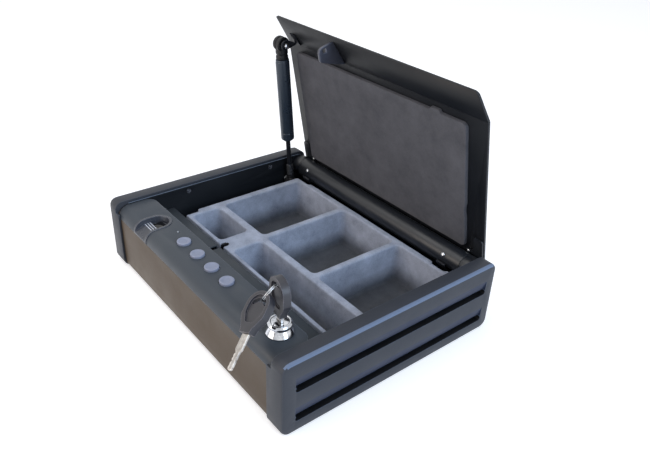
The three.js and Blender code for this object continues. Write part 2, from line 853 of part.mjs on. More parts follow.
function lockBezel() {
  const bore = lockCoreRadius + seatGap;
  const seat = deckHeight + seatGap;
  const profile = [
    [bore, lockBodyBottom],
    [lockBodyRadius, lockBodyBottom],
    [lockBodyRadius, seat],
    [lockFlangeRadius, seat],
    [lockFlangeRadius, seat + 0.9],
    [lockWaistRadius + 1.2, seat + 3.2],
    [lockWaistRadius, seat + 5],
    [lockWaistRadius + 0.4, seat + 6.6],
    [lockWaistRadius + 0.4, lockHeadTop - 1.8],
    [lockWaistRadius - 0.9, lockHeadTop],
    [bore, lockHeadTop],
    [bore, lockBodyBottom],
  ];
  const mesh = piece('lock_bezel', turned(profile, 32), 'chrome');
  mesh.position.set(lockX, lockY, 0);
  return mesh;
}

function lockNut() {
  const top = deckUnder - seatGap;
  const hole = circle(lockX, lockY, lockBodyRadius + seatGap);
  const shape = new THREE.Shape();
  for (let i = 0; i < 6; i += 1) {
    const angle = (i * Math.PI) / 3;
    const x = lockX + lockNutRadius * Math.cos(angle);
    const y = lockY + lockNutRadius * Math.sin(angle);
    if (i === 0) shape.moveTo(x, y);
    else shape.lineTo(x, y);
  }
  shape.holes.push(hole);
  return piece('lock_nut', prism(shape, 'z', top - lockNutHeight, top, 12), 'zinc');
}

function lockCore() {
  const core = bar('z', 0, 0, lockCoreRadius, lockCoreBottom, lockCoreTop);
  const halfWidth = keyBladeWidth / 2 + seatGap;
  const halfThick = keyBladeThickness / 2 + seatGap;
  const keyway = block(
    -halfWidth,
    halfWidth,
    -halfThick,
    halfThick,
    keyNeck.z - keyBladeLength - seatGap,
    big,
  );
  const mesh = piece('lock_core', cut(core, keyway), 'chrome');
  mesh.position.set(lockX, lockY, 0);
  mesh.rotation.z = THREE.MathUtils.degToRad(keyTurn);
  return mesh;
}

function lockCam() {
  const top = lockCoreBottom - seatGap;
  const arm = outline([
    [0, -camRadius, camRadius * 0.98],
    [pegReach + pegEyeRadius, -pegEyeRadius, pegEyeRadius * 0.98],
    [pegReach + pegEyeRadius, pegEyeRadius, pegEyeRadius * 0.98],
    [0, camRadius],
    [-camRadius, camRadius, camRadius * 0.6],
    [-camRadius, -camRadius, camRadius * 0.6],
  ]);
  const plate = prism(arm, 'z', top - camThickness, top);
  const peg = bar('z', pegReach, 0, pegRadius, pegBottom, top - camThickness / 2, 16);
  const mesh = piece('lock_cam', join(plate, peg), 'zinc');
  mesh.position.set(lockX, lockY, 0);
  mesh.rotation.z = Math.PI / 4;
  return mesh;
}

// Key blade pointing down -Z from its neck at the origin, its width along X.
function keyBladeGeometry() {
  const wide = keyBladeWidth / 2;
  const narrow = keyTipWidth / 2;
  const shape = outline([
    [-wide, 0],
    [wide, 0],
    [wide, -keyShoulderLength, 1],
    [narrow, -keyShoulderLength - 2.5],
    [narrow, -keyBladeLength, 1.8],
    [-narrow, -keyBladeLength, 1.8],
    [-narrow, -keyShoulderLength - 2.5],
    [-wide, -keyShoulderLength, 1],
  ]);
  return prism(shape, 'y', -keyBladeThickness / 2, keyBladeThickness / 2, 2);
}

function bowOutline(inset) {
  const half = keyBowWidth / 2 - inset;
  const top = keyBowLength - inset;
  const corner = half - 0.3;
  if (inset > 0) {
    return outline([
      [half * 0.45, keyBowLength * 0.24, 3],
      [half, keyBowLength * 0.48, 7],
      [half, top, corner],
      [-half, top, corner],
      [-half, keyBowLength * 0.48, 7],
      [-half * 0.45, keyBowLength * 0.24, 3],
    ]);
  }
  const neck = keyNeckWidth / 2;
  return outline([
    [-neck, seatGap],
    [neck, seatGap],
    [neck + 1, keyBowLength * 0.12],
    [half, keyBowLength * 0.4, 7],
    [half, top, corner],
    [-half, top, corner],
    [-half, keyBowLength * 0.4, 7],
    [-neck - 1, keyBowLength * 0.12],
  ]);
}

// Curved slot near the bow's top that the ring runs through.
function bowSlot() {
  const sweep = THREE.MathUtils.degToRad(keySlotSweep);
  const centreZ = keyBowLength - keySlotTop - keySlotRadius;
  const half = keySlotHeight / 2;
  const from = Math.PI / 2 - sweep;
  const to = Math.PI / 2 + sweep;
  const at = (angle) => [
    keySlotRadius * Math.cos(angle),
    centreZ + keySlotRadius * Math.sin(angle),
  ];
  const shape = new THREE.Shape();
  shape.absarc(0, centreZ, keySlotRadius + half, from, to, false);
  shape.absarc(...at(to), half, to, to + Math.PI, false);
  shape.absarc(0, centreZ, keySlotRadius - half, to, from, true);
  shape.absarc(...at(from), half, from + Math.PI, from + 2 * Math.PI, false);
  return shape;
}

function ringGeometry(wire) {
  const geometry = new THREE.TorusGeometry(ringRadius, wire, 6, 28);
  const turn = new THREE.Quaternion().setFromUnitVectors(
    new THREE.Vector3(0, 0, 1),
    ringNormal.clone().normalize(),
  );
  return geometry.applyQuaternion(turn).translate(ringCentre.x, ringCentre.y, ringCentre.z);
}

// Key bow standing up +Z from the neck: a raised rim around a thin web, room left for the ring.
function keyBowGeometry(place) {
  const half = keyBowThickness / 2;
  const web = keyWebThickness / 2;
  const body = prism(bowOutline(0), 'y', -half, half, 4);
  const front = prism(bowOutline(keyRimWidth), 'y', -half - sliver, -web, 4);
  const rear = prism(bowOutline(keyRimWidth), 'y', web, half + sliver, 4);
  const ringRoom = ringGeometry(ringWire + ringRunGap).applyMatrix4(place.clone().invert());
  return cut(body, front, rear, prism(bowSlot(), 'y', -big, big, 4), ringRoom);
}

function key(prefix, place) {
  const group = new THREE.Group();
  group.add(piece(`${prefix}_blade`, keyBladeGeometry(), 'nickel'));
  group.add(piece(`${prefix}_bow`, keyBowGeometry(place), 'blackPlastic'));
  group.applyMatrix4(place);
  return group;
}

function insertedKey() {
  const place = new THREE.Matrix4().makeRotationZ(THREE.MathUtils.degToRad(keyTurn));
  return key('key', place.setPosition(keyNeck));
}

function spareKey() {
  const up = spareSlot.clone().sub(spareTip).normalize();
  const side = new THREE.Vector3(0, 0, 1).cross(up).normalize();
  const face = up.clone().cross(side);
  const place = new THREE.Matrix4().makeBasis(side, face, up);
  place.multiply(new THREE.Matrix4().makeRotationZ(THREE.MathUtils.degToRad(spareRoll)));
  const neck = spareSlot.clone().addScaledVector(up, keySlotTop - keyBowLength);
  return key('spare_key', place.setPosition(neck));
}

function latchBar() {
  const pegX = lockX + pegSide;
  const gap = pegRadius + runGap;
  const forkFront = lockY + pegSide - forkDepth / 2;
  const left = pegX - gap - prongWidth;
  const right = pegX + gap + prongWidth;
  const shape = outline([
    [barTip, barFront],
    [left, barFront],
    [left, forkFront],
    [pegX - gap, forkFront],
    [pegX - gap, lockY + pegReach + pegRadius + runGap],
    [pegX + gap, lockY + pegReach + pegRadius + runGap],
    [pegX + gap, forkFront],
    [right, forkFront],
    [right, barRear],
    [barTip, barRear],
  ]);
  return piece('latch_bar', prism(shape, 'z', barBottom, barTop), 'zinc');
}

// Block under the ledge with a square hole that the bar slides through.
function barBlock(name, x, width) {
  const body = block(
    x,
    x + width,
    barFront - runGap - guideWall,
    Math.min(barRear + runGap + guideWall, skirtFront - seatGap),
    barBottom - runGap - guideWall,
    ledgeUnder - seatGap,
  );
  const hole = block(
    x - sliver,
    x + width + sliver,
    barFront - runGap,
    barRear + runGap,
    barBottom - runGap,
    barTop + runGap,
  );
  return piece(name, cut(body, hole), 'zinc');
}

const plungerY = barFront - 7;
const plungerZ = barBottom + 0.4;

function solenoid() {
  const body = block(
    solenoidX,
    solenoidX + solenoidLength,
    plungerY - solenoidDepth / 2,
    plungerY + solenoidDepth / 2,
    ledgeUnder - seatGap - solenoidHeight,
    ledgeUnder - seatGap,
  );
  const bore = bar(
    'x',
    plungerY,
    plungerZ,
    plungerRadius + runGap,
    solenoidX - sliver,
    solenoidX + plungerInsert + runGap,
    16,
  );
  return piece('release_solenoid', cut(body, bore), 'darkMetal');
}

function plunger() {
  const left = solenoidX - barStroke - 2;
  const rod = bar('x', plungerY, plungerZ, plungerRadius, left + sliver, solenoidX + plungerInsert, 16);
  const tab = block(left, left + plungerTab, plungerY - 3, barFront - seatGap, barBottom, barTop);
  return piece('solenoid_plunger', join(rod, tab), 'zinc');
}

function batteryHolder() {
  const halfX = cellLength + cellGap * 1.5 + holderWall;
  const halfY = cellRadius * 2 + cellGap * 1.5 + holderWall;
  const z0 = tubFloor + seatGap;
  const body = block(
    holderX - halfX,
    holderX + halfX,
    holderY - halfY,
    holderY + halfY,
    z0,
    z0 + holderHeight,
  );
  const hollow = block(
    holderX - halfX + holderWall,
    holderX + halfX - holderWall,
    holderY - halfY + holderWall,
    holderY + halfY - holderWall,
    z0 + holderWall,
    big,
  );
  return piece('battery_holder', cut(body, hollow), 'blackPlastic');
}

function battery(index) {
  const column = index % 2 === 0 ? -1 : 1;
  const row = index < 2 ? -1 : 1;
  const centre = (cellLength + cellGap) / 2;
  const nub = 1.2;
  const half = cellLength / 2;
  const profile = [
    [0, -half],
    [cellRadius, -half],
    [cellRadius, half - nub],
    [2.7, half - nub],
    [2.7, half],
    [0, half],
  ];
  const mesh = piece(`battery_${index + 1}`, turned(profile, 20), 'cell');
  mesh.rotation.y = Math.PI / 2;
  mesh.position.set(
    holderX + column * centre,
    holderY + row * (cellRadius + cellGap / 2),
    tubFloor + seatGap + holderWall + seatGap + cellRadius,
  );
  return mesh;
}

// Spans of the pockets of one row, left to right, between the ribs.
function pocketSpans(inset, ribs) {
  const lefts = [trayLeft + inset, ...ribs.map((rib) => rib[1])];
  const rights = [...ribs.map((rib) => rib[0]), trayRight - trayWall];
  return lefts.map((left, i) => [left, rights[i]]);
}

// Pocket with walls that draw in towards its floor.
function pocket(x0, x1, y0, y1) {
  const steps = 4;
  const ring = (inset, z) => {
    const radius = Math.max(pocketCorner - inset / 3, 1);
    const shape = rectangle(x0 + inset, x1 - inset, y0 + inset, y1 - inset, radius);
    return shape.getPoints(steps).slice(0, -1).map((p) => [p.x, p.y, z]);
  };
  const lower = ring(trayDraft, trayFloor);
  const rise = trayTop - trayFloor;
  const upper = ring(-trayDraft / rise, trayTop + 1);
  const count = lower.length;
  const index = [];
  for (let i = 0; i < count; i += 1) {
    const j = (i + 1) % count;
    index.push(i, j, count + j, i, count + j, count + i);
    if (i > 0 && i < count - 1) {
      index.push(0, i + 1, i, count, count + i, count + i + 1);
    }
  }
  const geometry = new THREE.BufferGeometry();
  const points = [...lower, ...upper].flat();
  geometry.setAttribute('position', new THREE.Float32BufferAttribute(points, 3));
  geometry.setIndex(index);
  return geometry;
}

function tray() {
  const shape = rectangle(trayLeft, trayRight, trayFront, trayRear, trayCorner);
  const body = prism(shape, 'z', tubFloor + seatGap, trayTop);
  const frontPockets = pocketSpans(frontPocketInset, frontPocketRibs).map(([x0, x1]) => (
    pocket(x0, x1, trayFront + trayWall, frontRowRear)
  ));
  const rearPockets = pocketSpans(rearPocketInset, rearPocketRibs).map(([x0, x1]) => (
    pocket(x0, x1, rearRowFront, trayRear - trayWall)
  ));
  const notches = bracketXs.map((x) => {
    const half = bracketWidth / 2 + trayNotchMargin;
    const left = x < 0 ? trayLeft - sliver : x - half;
    return block(left, x + half, trayRear - trayNotchDepth, big, 0, big);
  });
  const reliefRight = strutPlateLeft + strutPlateSheet + studHeadLength + trayReliefGap;
  const relief = block(trayLeft - sliver, reliefRight, -big, trayFront + trayReliefLength, 0, big);
  const catchShape = rectangle(
    catchX - catchSlotWidth / 2,
    catchX + catchSlotWidth / 2,
    trayFront - catchSlotWidth,
    catchSlotRear,
    catchSlotWidth * 0.49,
  );
  const catchSlot = prism(catchShape, 'z', 0, big);
  return piece('tray', cut(body, ...frontPockets, ...rearPockets, ...notches, relief, catchSlot), 'flock');
}

function hingeRod() {
  const half = wallOuterX - rodEndGap;
  return piece('hinge_rod', bar('x', hingeY, hingeZ, rodRadius, -half, half), 'zinc');
}

function rivetTools() {
  return bracketXs.map((x) => {
    const tool = bar('z', 0, 0, rivetShankRadius + seatGap, 0, big, 12);
    tool.rotateX(THREE.MathUtils.degToRad(rivetAngle - 90));
    return tool.translate(x, hingeY, hingeZ);
  });
}

function hingeBarrel() {
  const half = barrelHalfLength;
  const outside = bar('x', hingeY, hingeZ, barrelRadius, -half, half, 36);
  const hollow = bar('x', hingeY, hingeZ, barrelRadius - barrelWall, -big, big, 36);
  return piece('hinge_barrel', cut(outside, hollow, ...rivetTools()), 'lid');
}

// Domed rivet; its head sits on a surface whose outward direction is local +Z.
function rivetGeometry() {
  return turned([
    [0, -rivetShankLength],
    [rivetShankRadius, -rivetShankLength],
    [rivetShankRadius, seatGap],
    [rivetHeadRadius, seatGap],
    [rivetHeadRadius * 0.86, seatGap + rivetHeadHeight * 0.6],
    [rivetHeadRadius * 0.45, seatGap + rivetHeadHeight],
    [0, seatGap + rivetHeadHeight],
  ], 14);
}

function barrelRivet(name, x) {
  const mesh = piece(name, rivetGeometry(), 'nickel');
  const angle = THREE.MathUtils.degToRad(rivetAngle);
  mesh.position.set(
    x,
    hingeY + barrelRadius * Math.cos(angle),
    hingeZ + barrelRadius * Math.sin(angle),
  );
  mesh.rotation.x = angle - Math.PI / 2;
  return mesh;
}

// Saddle that hugs the barrel's underside, on a leg that stands on the tub's floor.
function hingeBracket(name, x) {
  const inner = barrelRadius + seatGap;
  const outer = inner + bracketSheet;
  const from = THREE.MathUtils.degToRad(196);
  const to = THREE.MathUtils.degToRad(284);
  const shape = new THREE.Shape();
  shape.absarc(hingeY, hingeZ, outer, from, to, false);
  shape.absarc(hingeY, hingeZ, inner, to, from, true);
  const saddle = prism(shape, 'x', x - bracketWidth / 2, x + bracketWidth / 2, 5);
  const rear = tubRear - tubSheet - seatGap;
  const leg = block(
    x - bracketWidth / 2,
    x + bracketWidth / 2,
    rear - bracketSheet,
    rear,
    tubLift + tubBottomRadius,
    hingeZ - inner,
  );
  return piece(name, join(saddle, leg), 'darkMetal');
}

// Knuckle with its strap along the lid and an ear for the lid's rivet, closed lid, left side.
function knuckleGeometry() {
  const left = -fittedHalfWidth - seatGap / 3;
  const right = -barrelHalfLength - seatGap;
  const facet = 1 / Math.cos(Math.PI / 24);
  const ring = bar('x', hingeY, hingeZ, barrelRadius, left, right, 24);
  const bore = bar('x', hingeY, hingeZ, (rodRadius + rodRunGap) * facet, -big, big);
  const top = lidInnerZ - seatGap;
  const strapLeft = -lidHalfWidth + 0.5;
  const strapRight = Math.min(padLeft - 0.9, -barrelHalfLength - seatGap);
  const strapEnd = hingeY - strapLength;
  const strapShape = rectangle(strapLeft, strapRight, strapEnd, hingeY, 3);
  const strap = prism(strapShape, 'z', top - strapSheet, top);
  const earRear = padRear + 1 + earDepth;
  const earFront = earRear - earDepth;
  const ear = block(strapRight - 1, strapRight + earReach, earFront, earRear, top - strapSheet, top);
  const hole = bar('z', -lidRivetX, earRear - earDepth / 2, rivetShankRadius + seatGap, 0, big, 12);
  return cut(join(ring, strap, ear), bore, hole);
}

const lidRivetY = padRear + 1 + earDepth / 2;

function lidRivet(name, x) {
  const mesh = piece(name, rivetGeometry(), 'nickel');
  mesh.position.set(x, lidRivetY, lidInnerZ - seatGap - strapSheet);
  mesh.rotation.x = Math.PI;
  return mesh;
}

// Closed lid: flat plate, then the front flange bent down to the finger groove.
function lidPanel() {
  const slope = THREE.MathUtils.degToRad(flangeAngle);
  const nx = -Math.sin(slope) * lidSheet;
  const nz = Math.cos(slope) * lidSheet;
  const bendShift = lidSheet * Math.tan(slope / 2);
  const tipY = lidBendY - flangeRun;
  const tipZ = lidInnerZ - flangeDrop;
  const rear = hingeY + lidRearReach;
  const shape = outline([
    [rear, lidInnerZ],
    [rear, lidInnerZ + lidSheet],
    [lidBendY - bendShift, lidInnerZ + lidSheet, lidBendRadius + lidSheet],
    [tipY + nx, tipZ + nz],
    [tipY, tipZ],
    [lidBendY, lidInnerZ, lidBendRadius],
  ]);
  const folded = prism(shape, 'x', -lidHalfWidth, lidHalfWidth);
  const planShape = outline([
    [-lidHalfWidth, rear, lidCornerRadius],
    [-lidHalfWidth, lidBendY],
    [lidTipNarrowing - lidHalfWidth, tipY + nx, lidCornerRadius],
    [lidHalfWidth, tipY + nx, lidCornerRadius],
    [lidHalfWidth, rear, lidCornerRadius],
  ]);
  const holes = [-lidRivetX, lidRivetX].map((x) => (
    bar('z', x, lidRivetY, rivetShankRadius + seatGap, 0, lidInnerZ + lidSheet * 0.8, 12)
  ));
  return piece('lid_panel', cut(common(folded, prism(planShape, 'z', 0, big)), ...holes), 'lid');
}

function lidPad() {
  const top = lidInnerZ - seatGap;
  const shape = rectangle(padLeft, padRight, padFront, padRear, padRadius);
  return piece('lid_pad', prism(shape, 'z', top - padThickness, top), 'foam');
}

// Height of the flange's inner face above a point in front of the bend.
function flangeInner(y) {
  return lidInnerZ - (lidBendY - y) * Math.tan(THREE.MathUtils.degToRad(flangeAngle));
}

function lidCatch() {
  const frontTop = catchSlotFront + 2;
  const shape = outline([
    [frontTop, flangeInner(frontTop) - seatGap],
    [frontTop + 0.6, catchBottom + 8],
    [frontTop + 2.2, catchBottom, 5],
    [frontTop + 15.2, catchBottom + 0.4, 4],
    [frontTop + 25.8, lidInnerZ - 6],
    [lidBendY - 0.2, flangeInner(lidBendY) - seatGap - 0.3],
  ]);
  const plate = prism(shape, 'x', catchX - catchThickness / 2, catchX + catchThickness / 2);
  const window = block(
    -big,
    0,
    barFront - runGap,
    barRear + runGap,
    barBottom - runGap,
    barTop + runGap,
  );
  return piece('lid_catch', cut(plate, window), 'darkMetal');
}

// Plate on the flange that carries the strut's upper stud, with a foot along the flange.
function strutPlate() {
  const y = strutUpperClosedY;
  const z = strutUpperClosedZ;
  const r = strutPlateRadius;
  const left = strutPlateLeft;
  const rearTop = lidBendY - 1.4;
  const frontTop = y - 11;
  const plateShape = outline([
    [frontTop, flangeInner(frontTop) - seatGap],
    [y - r, z + 2, 1],
    [y - r, z - r, r * 0.9],
    [y + r, z - r, r * 0.9],
    [rearTop, flangeInner(rearTop) - seatGap],
  ]);
  const footShape = outline([
    [frontTop, flangeInner(frontTop) - seatGap],
    [frontTop, flangeInner(frontTop) - seatGap - strutPlateSheet],
    [rearTop, flangeInner(rearTop) - seatGap - strutPlateSheet],
    [rearTop, flangeInner(rearTop) - seatGap],
  ]);
  return piece('strut_plate', cut(
    join(
      prism(plateShape, 'x', left, left + strutPlateSheet),
      prism(footShape, 'x', left + sliver, left + strutFootReach),
    ),
    bar('x', y, z, studRadius * 0.8 + seatGap, -big, 0, 12),
  ), 'darkMetal');
}

// Shouldered stud through the plate; the ball itself belongs to the strut.
function strutStud() {
  const left = strutPlateLeft;
  const right = left + strutPlateSheet;
  const geometry = join(
    bar('x', 0, 0, studRadius * 0.8, left - studTail, right + 1, 12),
    bar('x', 0, 0, studHeadRadius, right + seatGap, right + studHeadLength, 14),
  );
  const mesh = piece('strut_stud', geometry, 'chrome');
  mesh.position.set(0, strutUpperClosedY, strutUpperClosedZ);
  return mesh;
}

function lidGroup() {
  const turn = new THREE.Group();
  turn.position.set(0, hingeY, hingeZ);
  turn.rotation.x = THREE.MathUtils.degToRad(-openAngle);
  const closed = new THREE.Group();
  closed.position.set(0, -hingeY, -hingeZ);
  closed.add(lidPanel());
  closed.add(lidPad());
  closed.add(lidCatch());
  closed.add(strutPlate());
  closed.add(strutStud());
  closed.add(piece('hinge_knuckle_left', knuckleGeometry(), 'lid'));
  closed.add(piece('hinge_knuckle_right', mirrored(knuckleGeometry()), 'lid'));
  closed.add(lidRivet('lid_rivet_left', -lidRivetX));
  closed.add(lidRivet('lid_rivet_right', lidRivetX));
  turn.add(closed);
  return turn;
}

// Socket about its ball: a thick disc across the strut with a neck along it.
function socketGeometry(headRadius, neckRadius, neckLength, direction) {
  const head = bar('x', 0, 0, headRadius, -socketHalfWidth, socketHalfWidth, 20);
  const neckEnd = direction * neckLength;
  const neck = bar('z', 0, 0, neckRadius, Math.min(0, neckEnd), Math.max(0, neckEnd), 20);
  const seat = new THREE.SphereGeometry(ballRadius + seatGap, 14, 10);
  const mouthEnd = Math.max(socketHalfWidth, neckRadius) + 1;
  const mouth = bar('x', 0, 0, ballRadius * 0.8 + seatGap, 0, mouthEnd, 14);
  return cut(join(head, neck), seat, mouth);
}

// Ball with a short shank towards its stud or wall, along X.
function ballGeometry(shankFrom, shankTo) {
  return join(
    new THREE.SphereGeometry(ballRadius, 14, 10),
    bar('x', 0, 0, studRadius, shankFrom, shankTo, 12),
  );
}

// The strut stands along local +Z from its lower ball to its upper ball, lid open.
function strutGroup() {
  const group = new THREE.Group();
  const upper = new THREE.Vector3(0, strutUpperClosedY - hingeY, strutUpperClosedZ - hingeZ);
  upper.applyAxisAngle(hingeAxis, THREE.MathUtils.degToRad(-openAngle));
  const dy = upper.y + hingeY - strutLowerY;
  const dz = upper.z + hingeZ - strutLowerZ;
  const length = Math.hypot(dy, dz);
  group.position.set(strutX, strutLowerY, strutLowerZ);
  group.rotation.x = -Math.atan2(dy, dz);

  const tubeTop = length - tubeHeadGap;
  const boreTop = tubeStart + rodInsert + strutStroke;
  const tubeInner = tubeRadius - tubeWall;
  const gland = 3;
  const tube = piece('strut_cylinder', turned([
    [strutRodRadius + seatGap, tubeStart],
    [tubeRadius - 1.6, tubeStart],
    [tubeRadius, tubeStart + 2],
    [tubeRadius, tubeTop - 1.5],
    [tubeRadius - 1.2, tubeTop],
    [0, tubeTop],
    [0, boreTop],
    [tubeInner, boreTop],
    [tubeInner, tubeStart + gland],
    [strutRodRadius + seatGap, tubeStart + gland],
    [strutRodRadius + seatGap, tubeStart],
  ], 20), 'darkMetal');
  const rodTop = tubeStart + rodInsert;
  const rod = piece('strut_rod', turned([
    [0, socketLength + seatGap],
    [strutRodRadius, socketLength + seatGap],
    [strutRodRadius, rodTop - pistonLength],
    [tubeInner - seatGap, rodTop - pistonLength],
    [tubeInner - seatGap, rodTop],
    [0, rodTop],
  ], 20), 'darkMetal');
  const ribs = Array.from({ length: bootRibCount }, (_, i) => {
    const z = socketLength + seatGap + 0.6 + i * 1.5;
    const root = bootRadius - bootRib;
    return [[root, z], [bootRadius, z + 0.4], [bootRadius, z + 0.8], [root, z + 1.2]];
  }).flat();
  const bootBottom = socketLength + seatGap;
  const bootTop = ribs[ribs.length - 1][1] + 0.3;
  const bore = strutRodRadius + 0.1;
  const boot = piece('strut_boot', turned([
    [bore, bootBottom],
    [bootRadius - bootRib, bootBottom],
    ...ribs,
    [bootRadius - bootRib, bootTop],
    [bore, bootTop],
    [bore, bootBottom],
  ], 20), 'rubber');

  const lowerSocket = piece(
    'strut_lower_socket',
    mirrored(socketGeometry(socketRadius, lowerNeckRadius, socketLength, 1)),
    'blackPlastic',
  );
  const upperSocket = piece(
    'strut_upper_socket',
    socketGeometry(upperSocketRadius, upperNeckRadius, tubeHeadGap - seatGap, -1),
    'blackPlastic',
  );
  upperSocket.position.z = length;
  const shankEnd = strutPlateLeft - studTail - studBallGap - strutX;
  const upperBall = piece('strut_upper_ball', ballGeometry(0, shankEnd), 'chrome');
  upperBall.position.z = length;
  group.add(tube, rod, boot, lowerSocket, upperSocket, upperBall);
  return group;
}

// Ball that the strut's foot turns on, on a plate against the left wall.
function lowerBall() {
  const wall = -fittedHalfWidth - strutX;
  const mesh = piece('strut_lower_ball', join(
    ballGeometry(wall, 0),
    bar('x', 0, 0, 5, wall, wall + 0.8, 16),
  ), 'chrome');
  mesh.position.set(strutX, strutLowerY, strutLowerZ);
  return mesh;
}

function wallScrew(name, side, y) {
  const mesh = piece(name, screwGeometry(0), 'zinc');
  mesh.rotation.y = (-side * Math.PI) / 2;
  mesh.position.set(side * wallInnerX, y, screwZ);
  return mesh;
}

const safe = new THREE.Group();
safe.add(tub());
safe.add(baseMat());
safe.add(piece('right_end_cap', capGeometry(), 'cap'));
safe.add(piece('left_end_cap', mirrored(capGeometry()), 'cap'));
safe.add(consoleCover());
safe.add(ledge());
buttonXs.forEach((_, index) => safe.add(pushButton(index)));
safe.add(circuitBoard());
safe.add(statusLight());
safe.add(fingerprintBezel());
safe.add(fingerprintSensor());
safe.add(lockBezel());
safe.add(lockNut());
safe.add(lockCore());
safe.add(lockCam());
safe.add(insertedKey());
safe.add(spareKey());
safe.add(piece('key_ring', ringGeometry(ringWire), 'nickel'));
safe.add(latchBar());
safe.add(barBlock('latch_keeper', catchX - catchSlotWidth / 2 - 2 - keeperWidth, keeperWidth));
safe.add(barBlock('bar_guide', guideX, guideWidth));
safe.add(solenoid());
safe.add(plunger());
safe.add(batteryHolder());
[0, 1, 2, 3].forEach((index) => safe.add(battery(index)));
safe.add(tray());
safe.add(hingeRod());
safe.add(hingeBarrel());
safe.add(barrelRivet('barrel_rivet_left', bracketXs[0]));
safe.add(barrelRivet('barrel_rivet_right', bracketXs[1]));
safe.add(hingeBracket('hinge_bracket_left', bracketXs[0]));
safe.add(hingeBracket('hinge_bracket_right', bracketXs[1]));
safe.add(lidGroup());
safe.add(strutGroup());
safe.add(lowerBall());
screwYs.forEach((y, index) => {
  const place = index === 0 ? 'front' : 'rear';
  safe.add(wallScrew(`wall_screw_left_${place}`, -1, y));
  safe.add(wallScrew(`wall_screw_right_${place}`, 1, y));
});

export default safe;
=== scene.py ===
import json
import math

import bmesh
import bpy
import numpy as np
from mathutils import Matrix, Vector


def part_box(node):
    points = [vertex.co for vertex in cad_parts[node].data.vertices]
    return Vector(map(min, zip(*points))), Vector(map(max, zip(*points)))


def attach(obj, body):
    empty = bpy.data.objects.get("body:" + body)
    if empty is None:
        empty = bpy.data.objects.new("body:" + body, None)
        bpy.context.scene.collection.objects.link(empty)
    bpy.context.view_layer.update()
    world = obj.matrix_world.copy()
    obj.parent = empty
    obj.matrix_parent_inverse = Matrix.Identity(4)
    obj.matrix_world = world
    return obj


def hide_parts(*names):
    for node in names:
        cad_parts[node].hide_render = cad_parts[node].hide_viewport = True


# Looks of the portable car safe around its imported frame.
# Sizes are in millimetres, and mm turns them to Blender's metres.
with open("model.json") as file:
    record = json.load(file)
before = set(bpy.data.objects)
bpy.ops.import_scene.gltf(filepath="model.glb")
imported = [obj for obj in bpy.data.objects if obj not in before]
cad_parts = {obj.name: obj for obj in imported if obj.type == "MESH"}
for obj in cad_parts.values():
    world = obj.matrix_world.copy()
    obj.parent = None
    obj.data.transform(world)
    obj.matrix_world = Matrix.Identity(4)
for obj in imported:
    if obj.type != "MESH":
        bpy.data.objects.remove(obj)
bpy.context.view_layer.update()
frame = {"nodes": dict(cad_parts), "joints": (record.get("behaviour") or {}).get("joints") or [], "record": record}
nodes, record = frame["nodes"], frame["record"]
mm = 0.001
tau = 2 * math.pi
joints = {j["name"]: j for j in frame["joints"]}
bodyOf = {n: b for b, group in record["behaviour"]["bodies"].items() for n in group}
hingePoint = np.array(joints["lid_hinge"]["pos_m"]) / mm
openAngle = math.radians(joints["lid_hinge"]["range_deg"][1])
strutFoot = np.array(joints["strut_swing"]["pos_m"]) / mm
strutLine = np.array(joints["strut_slide"]["axis"])
lockPoint = np.array(joints["lock_turn"]["pos_m"]) / mm
print("frame loaded with", len(nodes), "nodes")


def addObject(name, data):
    made = bpy.data.objects.new(name, data)
    bpy.context.scene.collection.objects.link(made)
    return made


def turnTo(thing, rotation, origin):
    # the columns of rotation are the thing's own X, Y and Z
    place = np.eye(4)
    place[:3, :3], place[:3, 3] = rotation, origin * mm
    thing.matrix_world = [list(row) for row in place.T]


# Camera, fitted to the photograph from the corners of both end caps.
cameraFit = {
    "azimuth": 50.59, "elevation": 30.79, "roll": 2.53,
    "distance": 966.8, "target": (-187.36, 196.0, -81.7), "lens": 37.09, "sensor": 36.0,
}


def makeCamera(values):
    # back points from the target to the camera; right and up are then rolled about it
    az, el, roll = (math.radians(values[k]) for k in ("azimuth", "elevation", "roll"))
    back = np.array([math.sin(az) * math.cos(el), -math.cos(az) * math.cos(el), math.sin(el)])
    right = np.array([math.cos(az), math.sin(az), 0.0])
    up = np.cross(back, right)
    rolledRight = right * math.cos(roll) + up * math.sin(roll)
    rolledUp = up * math.cos(roll) - right * math.sin(roll)
    data = bpy.data.cameras.new("photoCamera")
    data.lens, data.sensor_width = values["lens"], values["sensor"]
    camera = addObject("photoCamera", data)
    origin = np.array(values["target"]) + back * values["distance"]
    turnTo(camera, np.column_stack([rolledRight, rolledUp, back]), origin)
    bpy.context.scene.camera = camera


makeCamera(cameraFit)
print("camera placed")


def tone(code):
    # colour written as #rrggbb, turned to the linear values that the sockets take
    parts = np.array([int(code[i:i + 2], 16) / 255 for i in (1, 3, 5)])
    linear = np.where(parts <= 0.04045, parts / 12.92, ((parts + 0.055) / 1.055) ** 2.4)
    return (*linear.tolist(), 1.0)


def addNode(tree, kind, inputs=None, **settings):
    # an input that is given a socket is linked, any other value is set on it
    made = tree.nodes.new(kind)
    for key, value in settings.items():
        setattr(made, key, value)
    for key, value in (inputs or {}).items():
        if isinstance(value, bpy.types.NodeSocket):
            tree.links.new(value, made.inputs[key])
        else:
            made.inputs[key].default_value = value
    return made


def arithmetic(tree, operation, *values):
    return addNode(tree, "ShaderNodeMath", dict(enumerate(values)), operation=operation).outputs["Value"]


socketKinds = {"Vector": "Vector", "Stretch": "Vector", "Normal": "Vector",
               "Dark": "Color", "Light": "Color", "Color": "Color"}


